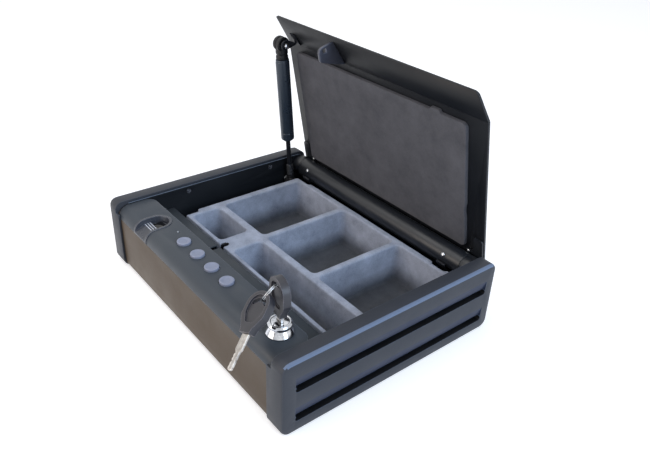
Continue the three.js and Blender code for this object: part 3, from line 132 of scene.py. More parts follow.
def startGroup(name, inputs, outputs):
    # a socket that socketKinds doesn't name holds a number
    tree = bpy.data.node_groups.new(name, "ShaderNodeTree")
    for way, labels in (("INPUT", inputs), ("OUTPUT", outputs)):
        for label in labels:
            kind = "NodeSocket" + socketKinds.get(label, "Float")
            tree.interface.new_socket(label, in_out=way, socket_type=kind)
    return tree, tree.nodes.new("NodeGroupInput").outputs, tree.nodes.new("NodeGroupOutput").inputs


def spread(tree, value, low, high, start=0.35, end=0.65):
    # value at start gives low and at end gives high, straight between them and level outside
    ranged = addNode(tree, "ShaderNodeMapRange", {
        "Value": value, "From Min": start, "From Max": end, "To Min": low, "To Max": high,
    })
    return ranged.outputs["Result"]


def noiseOf(tree, vector, scale, detail, roughness=0.55):
    made = addNode(tree, "ShaderNodeTexNoise", {
        "Vector": vector, "Scale": scale, "Detail": detail, "Roughness": roughness,
    })
    return made.outputs["Fac"]


def bumped(tree, height, depth):
    inputs = {"Height": height, "Distance": depth, "Strength": 1.0}
    return addNode(tree, "ShaderNodeBump", inputs).outputs["Normal"]


def blend(tree, factor, first, second):
    # inputs 6 and 7 and output 2 are the colour sockets of a mix node
    return addNode(tree, "ShaderNodeMix", {0: factor, 6: first, 7: second}, data_type="RGBA").outputs[2]


def grainGroup():
    # fine moulded or sprayed texture: noise as a low relief, and the same noise as a mask
    tree, given, out = startGroup("surfaceGrain", ("Vector", "Scale", "Depth"), ("Mask", "Normal"))
    fine = noiseOf(tree, given["Vector"], given["Scale"], detail=3.0, roughness=0.6)
    tree.links.new(fine, out["Mask"])
    tree.links.new(bumped(tree, fine, given["Depth"]), out["Normal"])
    return tree


def smudgeGroup():
    # broad handling marks: slow noise spread between two values
    tree, given, out = startGroup("handlingMarks", ("Vector", "Scale", "Low", "High"), ("Value",))
    broad = noiseOf(tree, given["Vector"], given["Scale"], detail=4.0, roughness=0.65)
    tree.links.new(spread(tree, broad, given["Low"], given["High"]), out["Value"])
    return tree


def edgeWearHighlightGroup():
    # where the rounded normal turns away from the face, an edge is made a little lighter, partly as rubbed wear
    # and partly as a painted highlight
    tree, given, out = startGroup("edgeWearAndHighlight", ("Vector", "Radius"), ("Mask",))
    soft = addNode(tree, "ShaderNodeBevel", {"Radius": given["Radius"]}, samples=3).outputs["Normal"]
    face = addNode(tree, "ShaderNodeNewGeometry").outputs["Normal"]
    match = addNode(tree, "ShaderNodeVectorMath", {0: soft, 1: face}, operation="DOT_PRODUCT")
    edge = spread(tree, match.outputs["Value"], 1.0, 0.0, start=0.72, end=0.985)
    patches = noiseOf(tree, given["Vector"], 90.0, detail=4.0)
    patchy = spread(tree, patches, 0.25, 1.0, start=0.3, end=0.7)
    tree.links.new(arithmetic(tree, "MULTIPLY", edge, patchy), out["Mask"])
    return tree


def pileGroup():
    # short flock or felt: lumps where the pile lies over, tufts as fine relief
    tree, given, out = startGroup(
        "clothPile", ("Vector", "Scale", "Depth", "Dark", "Light"), ("Color", "Normal"))
    lumps = noiseOf(tree, given["Vector"], 42.0, detail=5.0, roughness=0.7)
    tufts = noiseOf(tree, given["Vector"], given["Scale"], detail=4.0, roughness=0.75)
    mixed = arithmetic(tree, "MULTIPLY_ADD", tufts, 0.45, arithmetic(tree, "MULTIPLY", lumps, 0.55))
    factor = spread(tree, mixed, 0.0, 1.0, start=0.36, end=0.66)
    tree.links.new(blend(tree, factor, given["Dark"], given["Light"]), out["Color"])
    tree.links.new(bumped(tree, tufts, given["Depth"]), out["Normal"])
    return tree


def strokeGroup():
    # drawn or ground metal: noise pulled out along one direction
    tree, given, out = startGroup(
        "metalStrokes", ("Vector", "Stretch", "Scale", "Low", "High", "Depth"), ("Roughness", "Normal"))
    pulled = addNode(
        tree, "ShaderNodeVectorMath", {0: given["Vector"], 1: given["Stretch"]}, operation="MULTIPLY")
    lines = noiseOf(tree, pulled.outputs["Vector"], given["Scale"], detail=3.0, roughness=0.6)
    tree.links.new(spread(tree, lines, given["Low"], given["High"]), out["Roughness"])
    tree.links.new(bumped(tree, lines, given["Depth"]), out["Normal"])
    return tree


sharedEffects = {
    "grain": grainGroup(), "smudge": smudgeGroup(), "edge": edgeWearHighlightGroup(), "pile": pileGroup(),
    "stroke": strokeGroup(),
}


def placeEffect(tree, name, inputs):
    return addNode(tree, "ShaderNodeGroup", inputs, node_tree=sharedEffects[name]).outputs


def marksOf(tree, place, scale, low, high):
    inputs = {"Vector": place, "Scale": scale, "Low": low, "High": high}
    return placeEffect(tree, "smudge", inputs)["Value"]


def startFinish(name, settings):
    # plain numbers go straight onto the shader's own sockets
    finish = bpy.data.materials.new(name)
    finish.use_nodes = True
    tree = finish.node_tree
    shader = tree.nodes["Principled BSDF"]
    for key, value in settings.items():
        shader.inputs[key].default_value = value
    place = tree.nodes.new("ShaderNodeTexCoord").outputs["Object"]
    return finish, tree, shader.inputs, place


def connect(tree, shader, base, roughness, normal):
    for key, source in (("Base Color", base), ("Roughness", roughness), ("Normal", normal)):
        tree.links.new(source, shader[key])


def coated(name, values):
    # moulded or powder-coated skin: two close shades, fine relief, uneven gloss, edges lighter as rubbed wear and
    # painted highlight
    finish, tree, shader, place = startFinish(name, {
        "Metallic": values.get("metallic", 0.0), "Specular IOR Level": values.get("specular", 0.5),
    })
    scale, depth = values["grain"]
    grain = placeEffect(tree, "grain", {"Vector": place, "Scale": scale, "Depth": depth})
    gloss = marksOf(tree, place, values["marks"], *values["roughness"])
    base = blend(tree, grain["Mask"], *map(tone, values["tones"]))
    if "inner" in values:
        # the other side of a sheet, past a plane across the named axis
        code, axis, start, end = values["inner"]
        part = addNode(tree, "ShaderNodeSeparateXYZ", {"Vector": place}).outputs[axis]
        base = blend(tree, spread(tree, part, 0.0, 1.0, start * mm, end * mm), base, tone(code))
    for zone, code in values.get("zones", {}).items():
        # faces marked on the mesh take their own colour: painted shade in the cap's slots and scoops, painted
        # highlights on the cap's top rounding, the tub's rim and the reader's ridges
        marked = addNode(tree, "ShaderNodeAttribute", attribute_name=zone).outputs["Fac"]
        base = blend(tree, marked, base, tone(code))
    # lighter edges: partly rubbed wear, partly painted highlight
    if "rub" in values:
        share, radius, code = values["rub"]
        edge = placeEffect(tree, "edge", {"Vector": place, "Radius": radius * mm})["Mask"]
        base = blend(tree, arithmetic(tree, "MULTIPLY", edge, share), base, tone(code))
    connect(tree, shader, base, gloss, grain["Normal"])
    return finish


def brushedMetal(name, values):
    # bare or plated metal: fine strokes in its gloss and relief, handling marks in its colour
    finish, tree, shader, place = startFinish(name, {"Metallic": 1.0})
    (scale, depth), (low, high) = values["grain"], values["roughness"]
    stroke = placeEffect(tree, "stroke", {
        "Vector": place, "Stretch": values["stretch"], "Scale": scale, "Depth": depth,
        "Low": low, "High": high,
    })
    base = blend(tree, marksOf(tree, place, 160.0, 0.0, 1.0), *map(tone, values["tones"]))
    connect(tree, shader, base, stroke["Roughness"], stroke["Normal"])
    return finish


def clothFinish(name, values):
    # flock or felt: two shades of pile under a soft sheen, with painted shade darkening it towards the floor of
    # the pockets
    (scale, depth), (sheen, sheenTone), (deepTone, deepFrom, deepTo) = (
        values[key] for key in ("grain", "sheen", "deepShade"))
    finish, tree, shader, place = startFinish(name, {
        "Sheen Weight": sheen, "Sheen Roughness": 0.45, "Sheen Tint": tone(sheenTone),
        "Specular IOR Level": 0.2,
    })
    dark, light = map(tone, values["tones"])
    pile = placeEffect(tree, "pile", {
        "Vector": place, "Scale": scale, "Depth": depth, "Dark": dark, "Light": light,
    })
    height = addNode(tree, "ShaderNodeSeparateXYZ", {"Vector": place}).outputs["Z"]
    # painted shade: the pile turns to the deep tone towards low Z, the floor of the pockets
    deepShade = spread(tree, height, 1.0, 0.0, deepFrom * mm, deepTo * mm)
    shade = blend(tree, deepShade, pile["Color"], tone(deepTone))
    connect(tree, shader, shade, marksOf(tree, place, 70.0, 0.86, 1.0), pile["Normal"])
    return finish


# A finish has two tones and its grain's scale and depth in metres. A coat also has the scale of its
# handling marks, its least and greatest roughness, and the share, radius in mm and tone of its lighter edges,
# partly rubbed wear and partly painted highlight.
coatValues = {
    "capSkin": {
        "tones": ("#34373d", "#3f4249"), "grain": (1500.0, 2.2e-5), "marks": 26.0,
        "roughness": (0.42, 0.54), "specular": 0.25, "rub": (0.5, 1.0, "#7f90ab"),
        # the grooves' slots take a near-black painted shade, their scoops a darker bluish painted shade, and the
        # top rounding a painted bluish highlight
        "zones": {"slot": "#06080c", "scoop": "#2c3448", "strip": "#6d7b92"},
    },
    # the tub's outer tones are brown-grey: a painted warm reflection on a near-black sheet, whose inner side keeps
    # its dark tone
    "tubSkin": {
        "tones": ("#4e4439", "#5b5044"), "grain": (1700.0, 1.8e-5), "marks": 18.0,
        "roughness": (0.42, 0.56), "specular": 0.25, "rub": (0.35, 0.7, "#8f867d"),
        # the rim zone's bluish tone is a painted highlight along the sheet's top edge
        "inner": ("#14181d", "Y", -117.2, -116.6), "zones": {"rim": "#66758a"},
    },
    "deckSkin": {
        "tones": ("#383e45", "#434a52"), "grain": (1400.0, 2e-5), "marks": 22.0, "roughness": (0.38, 0.5),
        "specular": 0.3, "rub": (1.0, 0.9, "#a3abb7"),
    },
    "ledgeSkin": {
        "tones": ("#353a3f", "#40464c"), "grain": (1500.0, 1.8e-5), "marks": 24.0, "roughness": (0.4, 0.55),
        "specular": 0.25, "rub": (0.25, 0.6, "#6c727c"),
    },
    "lidSkin": {
        "tones": ("#101216", "#171a1f"), "grain": (1600.0, 2e-5), "marks": 14.0, "roughness": (0.38, 0.52),
        "specular": 0.28, "rub": (0.3, 0.8, "#8c93a0"),
    },
    "barrelSkin": {
        "tones": ("#15181d", "#1d2127"), "grain": (1500.0, 1.6e-5), "marks": 30.0, "roughness": (0.3, 0.42),
    },
    "darkSteel": {
        "tones": ("#17191e", "#22252c"), "grain": (1800.0, 1.2e-5), "marks": 60.0, "roughness": (0.3, 0.45),
        "specular": 0.4, "metallic": 0.3, "rub": (0.7, 0.5, "#8a93a6"),
    },
    "strutPaint": {
        "tones": ("#242f3b", "#2f3b49"), "grain": (2200.0, 6e-6), "marks": 50.0, "roughness": (0.24, 0.36),
        "metallic": 0.2,
    },
    "blackPlastic": {
        "tones": ("#111214", "#191a1d"), "grain": (1500.0, 1.5e-5), "marks": 60.0,
        "roughness": (0.38, 0.52), "specular": 0.3, "rub": (0.4, 0.5, "#5b616c"),
    },
    "readerPlastic": {
        "tones": ("#3a3d45", "#474b54"), "grain": (1800.0, 8e-6), "marks": 70.0, "roughness": (0.2, 0.32),
        # the ridge zone's near-white tone is a painted highlight on the reader's finger ridges
        "rub": (0.9, 0.6, "#b9c2d2"), "zones": {"ridge": "#d5dae4"},
    },
    "bowPlastic": {
        "tones": ("#2c2c31", "#3a3a40"), "grain": (1300.0, 1.6e-5), "marks": 80.0,
        "roughness": (0.34, 0.46), "rub": (0.7, 0.8, "#b5b0ba"),
    },
    "catchSteel": {
        "tones": ("#444650", "#535662"), "grain": (1800.0, 1.2e-5), "marks": 60.0, "roughness": (0.28, 0.4),
        "metallic": 0.2, "rub": (1.0, 0.7, "#7288ad"),
    },
    "sensorGlass": {
        "tones": ("#0a0b0d", "#0e0f12"), "grain": (900.0, 1e-6), "marks": 120.0, "roughness": (0.06, 0.14),
        "specular": 0.4,
    },
    "buttonRubber": {
        "tones": ("#858b9f", "#969db1"), "grain": (1600.0, 1e-5), "marks": 130.0, "roughness": (0.38, 0.5),
        "specular": 0.35, "rub": (0.9, 1.0, "#c3cad8"),
    },
    "softRubber": {
        "tones": ("#131416", "#1f2124"), "grain": (700.0, 6e-5), "marks": 50.0, "roughness": (0.5, 0.7),
        "specular": 0.4, "rub": (1.0, 0.4, "#8b95a5"),
    },
    "boardLacquer": {
        "tones": ("#17492b", "#205a36"), "grain": (600.0, 1e-5), "marks": 90.0, "roughness": (0.3, 0.45),
    },
    "cellWrap": {
        "tones": ("#2a2e36", "#363b45"), "grain": (500.0, 4e-6), "marks": 70.0, "roughness": (0.22, 0.36),
        "metallic": 0.35,
    },
    "lightLens": {
        "tones": ("#7f868c", "#a2a9af"), "grain": (800.0, 2e-6), "marks": 200.0, "roughness": (0.12, 0.22),
        "specular": 0.6,
    },
}
metalValues = {
    "chromePlate": {
        "tones": ("#9ea2aa", "#dfe2e7"), "grain": (900.0, 1.5e-6), "stretch": (1.0, 1.0, 0.2),
        "roughness": (0.08, 0.16),
    },
    "keyNickel": {
        "tones": ("#9f9a95", "#c9c5c0"), "grain": (1500.0, 6e-6), "stretch": (1.0, 1.0, 0.25),
        "roughness": (0.26, 0.42),
    },
    "screwZinc": {
        "tones": ("#5a5d63", "#9a9ea5"), "grain": (1200.0, 5e-6), "stretch": (1.0, 0.3, 1.0),
        "roughness": (0.22, 0.34),
    },
    "wireSteel": {
        "tones": ("#8d9095", "#c9ccd1"), "grain": (1800.0, 3e-6), "stretch": (1.0, 1.0, 1.0),
        "roughness": (0.14, 0.26),
    },
    "zincPlate": {
        "tones": ("#6c6f74", "#8c9095"), "grain": (1200.0, 5e-6), "stretch": (1.0, 0.3, 1.0),
        "roughness": (0.3, 0.48),
    },
}
clothValues = {
    "trayFlock": {
        "tones": ("#858b99", "#bfc6d5"), "grain": (1500.0, 0.00022), "sheen": (0.3, "#c8cfdb"),
        # the deep tone is painted shade towards the pocket floors
        "deepShade": ("#35342f", 6.0, 28.0),
    },
    "padFelt": {
        "tones": ("#4f5055", "#65666c"), "grain": (1900.0, 9e-5), "sheen": (0.12, "#a9abb3"),
        "deepShade": ("#4a4b50", -9.0, -8.0),
    },
}
finishes = {}
for make, rows in ((coated, coatValues), (brushedMetal, metalValues), (clothFinish, clothValues)):
    finishes.update({name: make(name, values) for name, values in rows.items()})
print("finishes made:", len(finishes))

edgeAngle = 35  # degrees between faces, past which an edge counts as a real one


def unit(vector):
    return np.array(vector, float) / np.linalg.norm(vector)


def standing(origin, axis=(0, 0, 1), side=(1, 0, 0)):
    # the piece's own Z along axis and its X towards side, from origin
    z = unit(axis)
    x = unit(np.array(side, float) - np.dot(side, z) * z)
    return np.column_stack([x, np.cross(z, x), z]), np.array(origin, float)


def crosswise(origin):
    return standing(origin, (1, 0, 0), (0, 1, 0))


def put(points, place):
    return np.asarray(points, float).reshape(-1, 3) @ place[0].T + place[1]


# Closed-lid coordinates, measured from the hinge, turned to where the open lid stands.
lidPlace = (
    np.array([[1, 0, 0],
              [0, math.cos(openAngle), math.sin(openAngle)],
              [0, -math.sin(openAngle), math.cos(openAngle)]]),
    hingePoint,
)


def gridFaces(rows, cols, closeRows=False, closeCols=False):
    # a quad between each pair of neighbouring rows and columns
    r, c = np.meshgrid(np.arange(rows - (not closeRows)), np.arange(cols - (not closeCols)), indexing="ij")
    r2, c2 = (r + 1) % rows, (c + 1) % cols
    return np.stack([r * cols + c, r * cols + c2, r2 * cols + c2, r2 * cols + c], -1).reshape(-1, 4)


def readRows(items, key):
    # a vector of each vertex or face, one row each
    values = np.empty(len(items) * 3, np.float32)
    items.foreach_get(key, values)
    return values.reshape(-1, 3)


def writePoints(mesh, points):
    mesh.vertices.foreach_set("co", points.astype(np.float32).ravel())


def merged(node):
    # a copy of a CAD node with its loose triangles joined, to be finished and written by the caller
    mesh = nodes[node].data.copy()
    work = bmesh.new()
    work.from_mesh(mesh)
    bmesh.ops.remove_doubles(work, verts=work.verts, dist=4e-6)
    return mesh, work


def linkMesh(name, mesh, finish, sharpAngle):
    mesh.polygons.foreach_set("use_smooth", np.ones(len(mesh.polygons), bool))
    mesh.set_sharp_from_angle(angle=math.radians(sharpAngle))
    mesh.materials.clear()
    mesh.materials.append(finishes[finish])
    return addObject(name, mesh)


def surface(name, points, faces, finish, place, sharpAngle=40):
    # doubles are merged, so seams and poles close, and faces then point outwards
    mesh = bpy.data.meshes.new(name)
    mesh.from_pydata((put(points, place) * mm).tolist(), [], faces.tolist())
    work = bmesh.new()
    work.from_mesh(mesh)
    bmesh.ops.remove_doubles(work, verts=work.verts, dist=1e-6)
    bmesh.ops.recalc_face_normals(work, faces=work.faces)
    work.to_mesh(mesh)
    work.free()
    return linkMesh(name, mesh, finish, sharpAngle)


def rounded(corners, closed=False):
    # each corner (u, v, radius) becomes an arc in six steps that touches both of its sides
    corners = [tuple(c) + (0,) * (3 - len(c)) for c in corners]
    made = []
    for i, (u, v, radius) in enumerate(corners):
        inside = closed or 0 < i < len(corners) - 1
        if radius == 0 or not inside:
            made.append(np.array([[u, v]]))
            continue
        corner = np.array([u, v])
        back = unit(np.array(corners[i - 1][:2]) - corner)
        ahead = unit(np.array(corners[(i + 1) % len(corners)][:2]) - corner)
        half = math.acos(np.clip(back @ ahead, -1, 1)) / 2
        centre = corner + unit(back + ahead) * radius / math.sin(half)
        start, end = corner + back * radius / math.tan(half), corner + ahead * radius / math.tan(half)
        first = math.atan2(*(start - centre)[::-1])
        turn = (math.atan2(*(end - centre)[::-1]) - first + math.pi) % tau - math.pi
        angle = first + turn * np.linspace(0, 1, 7)
        made.append(centre + radius * np.stack([np.cos(angle), np.sin(angle)], -1))
    return np.concatenate(made)


def turned(name, corners, finish, place, segments=64, hollow=False, carve=None):
    # the profile's (radius, height) carried round the Z axis; a hollow profile is a closed loop, and
    # carve changes the points before they are placed
    profile = rounded(corners, closed=hollow)
    angle = np.linspace(0, tau, segments, endpoint=False)
    radius, height = profile[:, :1], profile[:, 1:]
    points = np.stack([radius * np.cos(angle), radius * np.sin(angle), height + 0 * angle], -1)
    if carve is not None:
        points = carve(points)
    faces = gridFaces(len(profile), segments, closeRows=hollow, closeCols=True)
    return surface(name, points, faces, finish, place)


def drawnIn(name, points, finish, place, sharpAngle):
    # a tube of rings, closed by one more at each end, drawn in to the middle of the ring beside it
    ends = points[[0, -1]].mean(1, keepdims=True).repeat(points.shape[1], 1)
    points = np.concatenate([ends[:1], points, ends[1:]])
    return surface(name, points, gridFaces(*points.shape[:2], closeCols=True), finish, place, sharpAngle)


def wirePoints(path, radius, upright, sides):
    # a circle carried along the path: its cosine sideways, its sine square to that and to the path
    tangent = np.gradient(path, axis=0)
    side = np.cross(tangent, upright)
    lift = np.cross(side, tangent)
    side, lift = (radius * v / np.linalg.norm(v, axis=1)[:, None] for v in (side, lift))
    angle = np.linspace(0, tau, sides, endpoint=False)[None, :, None]
    return path[:, None] + np.cos(angle) * side[:, None] + np.sin(angle) * lift[:, None]


def softened(node, finish, width, segments):
    # a merged copy of a CAD node whose real edges are rounded by a small bevel
    mesh, work = merged(node)
    limit, flat = math.radians(edgeAngle), math.radians(0.8)
    bmesh.ops.dissolve_limit(work, angle_limit=flat, verts=work.verts, edges=work.edges)
    sharp = [e for e in work.edges if len(e.link_faces) == 2 and e.calc_face_angle(0) > limit]
    bmesh.ops.bevel(
        work, geom=sharp, offset=width * mm, segments=segments, profile=0.5, affect="EDGES",
        clamp_overlap=True)
    bmesh.ops.remove_doubles(work, verts=work.verts, dist=2e-6)
    bmesh.ops.triangulate(work, faces=[f for f in work.faces if len(f.verts) > 4])
    work.to_mesh(mesh)
    work.free()
    return linkMesh(node + "_skin", mesh, finish, edgeAngle)


def fit(piece, node):
    # the piece stands for this CAD node and rides on its body
    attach(piece, bodyOf[node])
    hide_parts(node)
    return piece


def applied(piece):
    # the mesh that the modifiers make; the piece itself is deleted
    graph = bpy.context.evaluated_depsgraph_get()
    mesh = bpy.data.meshes.new_from_object(piece.evaluated_get(graph))
    bpy.data.objects.remove(piece)
    return mesh


def joined(name, first, other):
    # one closed skin from two overlapping ones
    finish = first.data.materials[0].name
    union = first.modifiers.new("union", "BOOLEAN")
    union.operation, union.solver, union.object = "UNION", "EXACT", other
    mesh = applied(first)
    bpy.data.objects.remove(other)
    return linkMesh(name, mesh, finish, edgeAngle)


# Shell: caps, tub, cover and ledge keep the frame's shapes, with their edges rounded.
# Each node has its finish, its material slot, and the width and steps of the rounding.
shellSkins = {
    "right_end_cap": ("capSkin", "cap", 0.45, 2),
    "left_end_cap": ("capSkin", "cap", 0.45, 2),
    "base_shell": ("tubSkin", "steel", 0.3, 2),
    "base_mat": ("softRubber", "rubber", 0.6, 2),
    "console_cover": ("deckSkin", "deck", 0.6, 3),
    "ledge_plate": ("ledgeSkin", "deck", 0.35, 2),
    "fingerprint_bezel": ("readerPlastic", "black_plastic", 0.35, 2),
    "fingerprint_sensor": ("sensorGlass", "gloss", 0.3, 2),
    "lid_panel": ("lidSkin", "lid", 0.6, 3),
    "hinge_knuckle_left": ("barrelSkin", "lid", 0.4, 2),
    "hinge_knuckle_right": ("barrelSkin", "lid", 0.4, 2),
    "hinge_bracket_left": ("darkSteel", "dark_metal", 0.4, 2),
    "hinge_bracket_right": ("darkSteel", "dark_metal", 0.4, 2),
    "lid_catch": ("catchSteel", "dark_metal", 0.6, 2),
    "strut_plate": ("darkSteel", "dark_metal", 0.4, 2),
    "lock_core": ("chromePlate", "chrome", 0.25, 2),
    "key_bow": ("bowPlastic", "black_plastic", 0.8, 3),
    "spare_key_bow": ("bowPlastic", "black_plastic", 0.8, 3),
}


def markZones(piece, zones):
    # each zone is a rule from the faces' middles (mm) and normals to a mask, stored face by face
    mesh = piece.data
    middles, normals = readRows(mesh.polygons, "center").T / mm, readRows(mesh.polygons, "normal").T
    for zone, rule in zones.items():
        mark = mesh.attributes.new(zone, "FLOAT", "FACE")
        mark.data.foreach_set("value", rule(middles, normals).astype(np.float32))


capZones = {"slots": [(11.3, 16.3), (41.8, 46.8)], "scoopHeight": 9.5, "face": 157.0, "scoopDepth": 2.4,
            "scoopLimit": 3.0, "reach": 110.1, "slack": 0.1, "stripFrom": 70.2}
ridgeHighlightZone = {"low": 64.3, "high": 64.9}
rimHighlightZone = {"low": 69.5}
facingUp = 0.9  # least upward share of a level face's normal


def inGroove(middles, low, high):
    return (middles[2] > low) & (middles[2] < high) & (np.abs(middles[1]) < capZones["reach"])


def slotShadeRule(middles, normals):
    # the deep part of each groove, behind its scoop, which takes a near-black painted shade
    slack = capZones["slack"]
    deepShade = np.abs(middles[0]) < capZones["face"] - capZones["scoopDepth"] + slack
    slots = [inGroove(middles, low - slack, high + slack) for low, high in capZones["slots"]]
    return deepShade & np.any(slots, axis=0)


def scoopShadeRule(middles, normals):
    # the shallow slope above each slot, which takes a darker bluish painted shade
    depth = capZones["face"] - np.abs(middles[0])
    sunk = (depth > 2 * capZones["slack"]) & (depth < capZones["scoopLimit"])
    scoops = [inGroove(middles, high, high + capZones["scoopHeight"]) for _, high in capZones["slots"]]
    return sunk & np.any(scoops, axis=0)


def stripHighlightRule(middles, normals):
    # the rounding between the cap's top and its outer face, which takes a painted bluish highlight
    outwards = normals[0] * np.sign(middles[0])
    return (middles[2] > capZones["stripFrom"]) & (normals[2] > 0.2) & (outwards > 0.2)


def rimHighlightRule(middles, normals):
    # the sheet's upper edge, facing up, which takes a painted bluish highlight
    return (middles[2] > rimHighlightZone["low"]) & (normals[2] > facingUp)


def ridgeHighlightRule(middles, normals):
    # the tops of the reader's finger ridges, which take a near-white painted highlight
    return (middles[2] > ridgeHighlightZone["low"]) & (middles[2] < ridgeHighlightZone["high"]) & (normals[2] > facingUp)


capRules = {"slot": slotShadeRule, "scoop": scoopShadeRule, "strip": stripHighlightRule}
skinZones = {
    "right_end_cap": capRules, "left_end_cap": capRules,
    "fingerprint_bezel": {"ridge": ridgeHighlightRule},
    "base_shell": {"rim": rimHighlightRule},
}
tubEdge = {"face": 118.5, "lift": 2.5, "radius": 10.0, "newLift": 1.3, "newRadius": 4.6, "slack": 0.01}


def tightenEdge(skin, values):
    # the tub's lower bends get a tighter radius: each point keeps its place on its arc, drawn in
    # to the corner by newRadius / radius, and the floor between the bends drops to the new lift
    points = readRows(skin.data.vertices, "co") / mm
    share = values["newRadius"] / values["radius"]
    depth = values["face"] - np.abs(points[:, 1])
    height = points[:, 2] - values["lift"]
    low = height < values["radius"] - values["slack"]
    near = low & (depth < values["radius"] + values["slack"])
    points[near, 1] = np.sign(points[near, 1]) * (values["face"] - share * depth[near])
    points[low, 2] = values["newLift"] + np.where(near[low], share, 1.0) * height[low]
    writePoints(skin.data, points * mm)
    skin.data.update()


for node, (finish, slotName, width, segments) in shellSkins.items():
    skin = softened(node, finish, width, segments)
    if node == "base_shell":
        tightenEdge(skin, tubEdge)
    markZones(skin, skinZones.get(node, {}))
    fit(skin, node)
print("shell skins made:", len(shellSkins))

# Inner pieces keep their CAD shape and get a finish.
innerFinishes = {
    "zincPlate": [
        "lock_nut", "lock_cam", "latch_bar", "latch_keeper", "bar_guide", "solenoid_plunger", "hinge_rod"],
    "darkSteel": ["release_solenoid"],
    "boardLacquer": ["button_board"],
    "blackPlastic": ["battery_holder"],
    "cellWrap": ["battery_1", "battery_2", "battery_3", "battery_4"],
}
for finish, group in innerFinishes.items():
    for node in group:
        nodes[node].data.materials.clear()
        nodes[node].data.materials.append(finishes[finish])
print("inner finishes set")


def boxOf(node):
    low, high = (np.array(corner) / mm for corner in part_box(node))
    return low, high, (low + high) / 2


# Buttons: a low dished top with a rounded shoulder, on a flange that stays under the deck.
buttonShape = {"radius": 6.8, "flange": 8.4, "flangeThickness": 1.4, "drop": 4.1, "shoulder": 0.7,
               "dish": 0.35, "stemRadius": 2.5}


def makeButton(node, values):
    (_, _, low), (_, _, high), (x, y, _) = boxOf(node)
    radius, stem, dished = values["radius"], values["stemRadius"], high - values["dish"]
    flangeTop = high - values["drop"]
    flangeLow = flangeTop - values["flangeThickness"]
    corners = [
        (0, low), (stem, low, 0.2), (stem, flangeLow), (values["flange"], flangeLow, 0.3),
        (values["flange"], flangeTop, 0.3), (radius, flangeTop, 0.2), (radius, high, values["shoulder"]),
        (radius * 0.72, high, 1.5), (radius * 0.5, dished, 1.5), (0, dished),
    ]
    fit(turned(node + "_cap", corners, "buttonRubber", standing((x, y, 0)), 56), node)


for number in range(1, 5):
    makeButton(f"button_{number}", buttonShape)

# Status light: a small domed lens.
lensRadius = 1.1
(_, _, lensLow), (_, _, lensHigh), lensMiddle = boxOf("status_light")
fit(turned("status_lens", [
    (0, lensLow), (lensRadius, lensLow, 0.2), (lensRadius, lensHigh, 0.6), (0, lensHigh + 0.05),
], "lightLens", standing(lensMiddle * (1, 1, 0)), 32), "status_light")

# Key lock: a turned chrome collar with a flared foot and a rolled lip, as (radius, height, rounding).
lockCollar = [
    (7.7, 54.0), (9.0, 54.0, 0.3), (9.0, 69.6, 0.1), (11.9, 69.6, 0.2), (11.9, 70.3, 0.3), (9.0, 75.4, 0.8),
    (9.0, 76.0, 0.3), (10.2, 77.2, 0.4), (10.2, 78.6, 0.9), (9.0, 80.2, 0.5), (7.7, 80.2, 0.2),
]
fit(turned("lock_collar", lockCollar, "chromePlate", standing(lockPoint * (1, 1, 0)), 96, hollow=True),
    "lock_bezel")
print("buttons and lock made")

# Key blades: a flat section with a milled groove, carried down the blade past its cuts.
# Each cut is its distance from the bow, its depth and its half width.
bladeShape = {
    "length": 29.0, "shoulder": 3.7, "tip": 2.4, "shoulderEnd": 13.3, "halfThickness": 1.15, "point": 2.0,
    "groove": 0.42, "grooveReach": 0.88, "grooveOffset": 0.7, "squareness": 0.28,
    "cuts": [(15.4, 0.9, 1.5), (18.8, 0.55, 1.2), (21.8, 1.0, 1.4), (24.9, 0.45, 1.1)],
}


def bladePoints(values):
    # half width along the blade: shoulder, then tip width less each V cut, drawn in over the point;
    # the section is a squared-off ellipse, its flat sides sunk by a groove
    point, body = values["point"], values["length"] - values["point"]
    down = np.concatenate([
        np.linspace(0, body, 90), body + point * np.sin(np.linspace(0, math.pi / 2, 14)[1:])])
    step = 1 / (1 + np.exp(-(down - values["shoulderEnd"]) * 3.2))
    half = values["shoulder"] * (1 - step) + values["tip"] * step
    ending = np.clip((down - body) / point, 0, 1)
    half = half * np.sqrt(np.clip(1 - ending ** 2 * 0.999, 0, 1))
    left, right = half.copy(), half.copy()
    for place, depth, width in values["cuts"]:
        right -= depth * np.clip(1 - np.abs(down - place) / width, 0, 1)
    for place, depth, width in values["cuts"][1::2]:
        left -= depth * 0.8 * np.clip(1 - np.abs(down - place - 1.5) / width, 0, 1)
    angle = np.linspace(0, tau, 72, endpoint=False)
    across = np.sign(np.cos(angle)) * np.abs(np.cos(angle)) ** values["squareness"]
    thick = np.sign(np.sin(angle)) * np.abs(np.sin(angle)) ** values["squareness"]
    width = np.where(across[None] > 0, right[:, None], left[:, None])
    x = across[None] * width
    flatness = values["halfThickness"] * np.sqrt(np.clip(1 - (ending * 0.9)[:, None] ** 2, 0, 1))
    lane = values["grooveOffset"] * np.where(thick > 0, 1, -1)[None]
    dip = values["groove"] * np.exp(-((x - lane) / values["grooveReach"]) ** 4) * (np.abs(thick) > 0.9)
    y = thick[None] * (flatness - dip * np.clip(1 - ending[:, None] * 1.5, 0, 1))
    z = -down[:, None] + 0 * x
    return np.stack([x, y, z], -1)


def makeBlade(node, place):
    fit(drawnIn(node + "_cut", bladePoints(bladeShape), "keyNickel", place, 32), node)


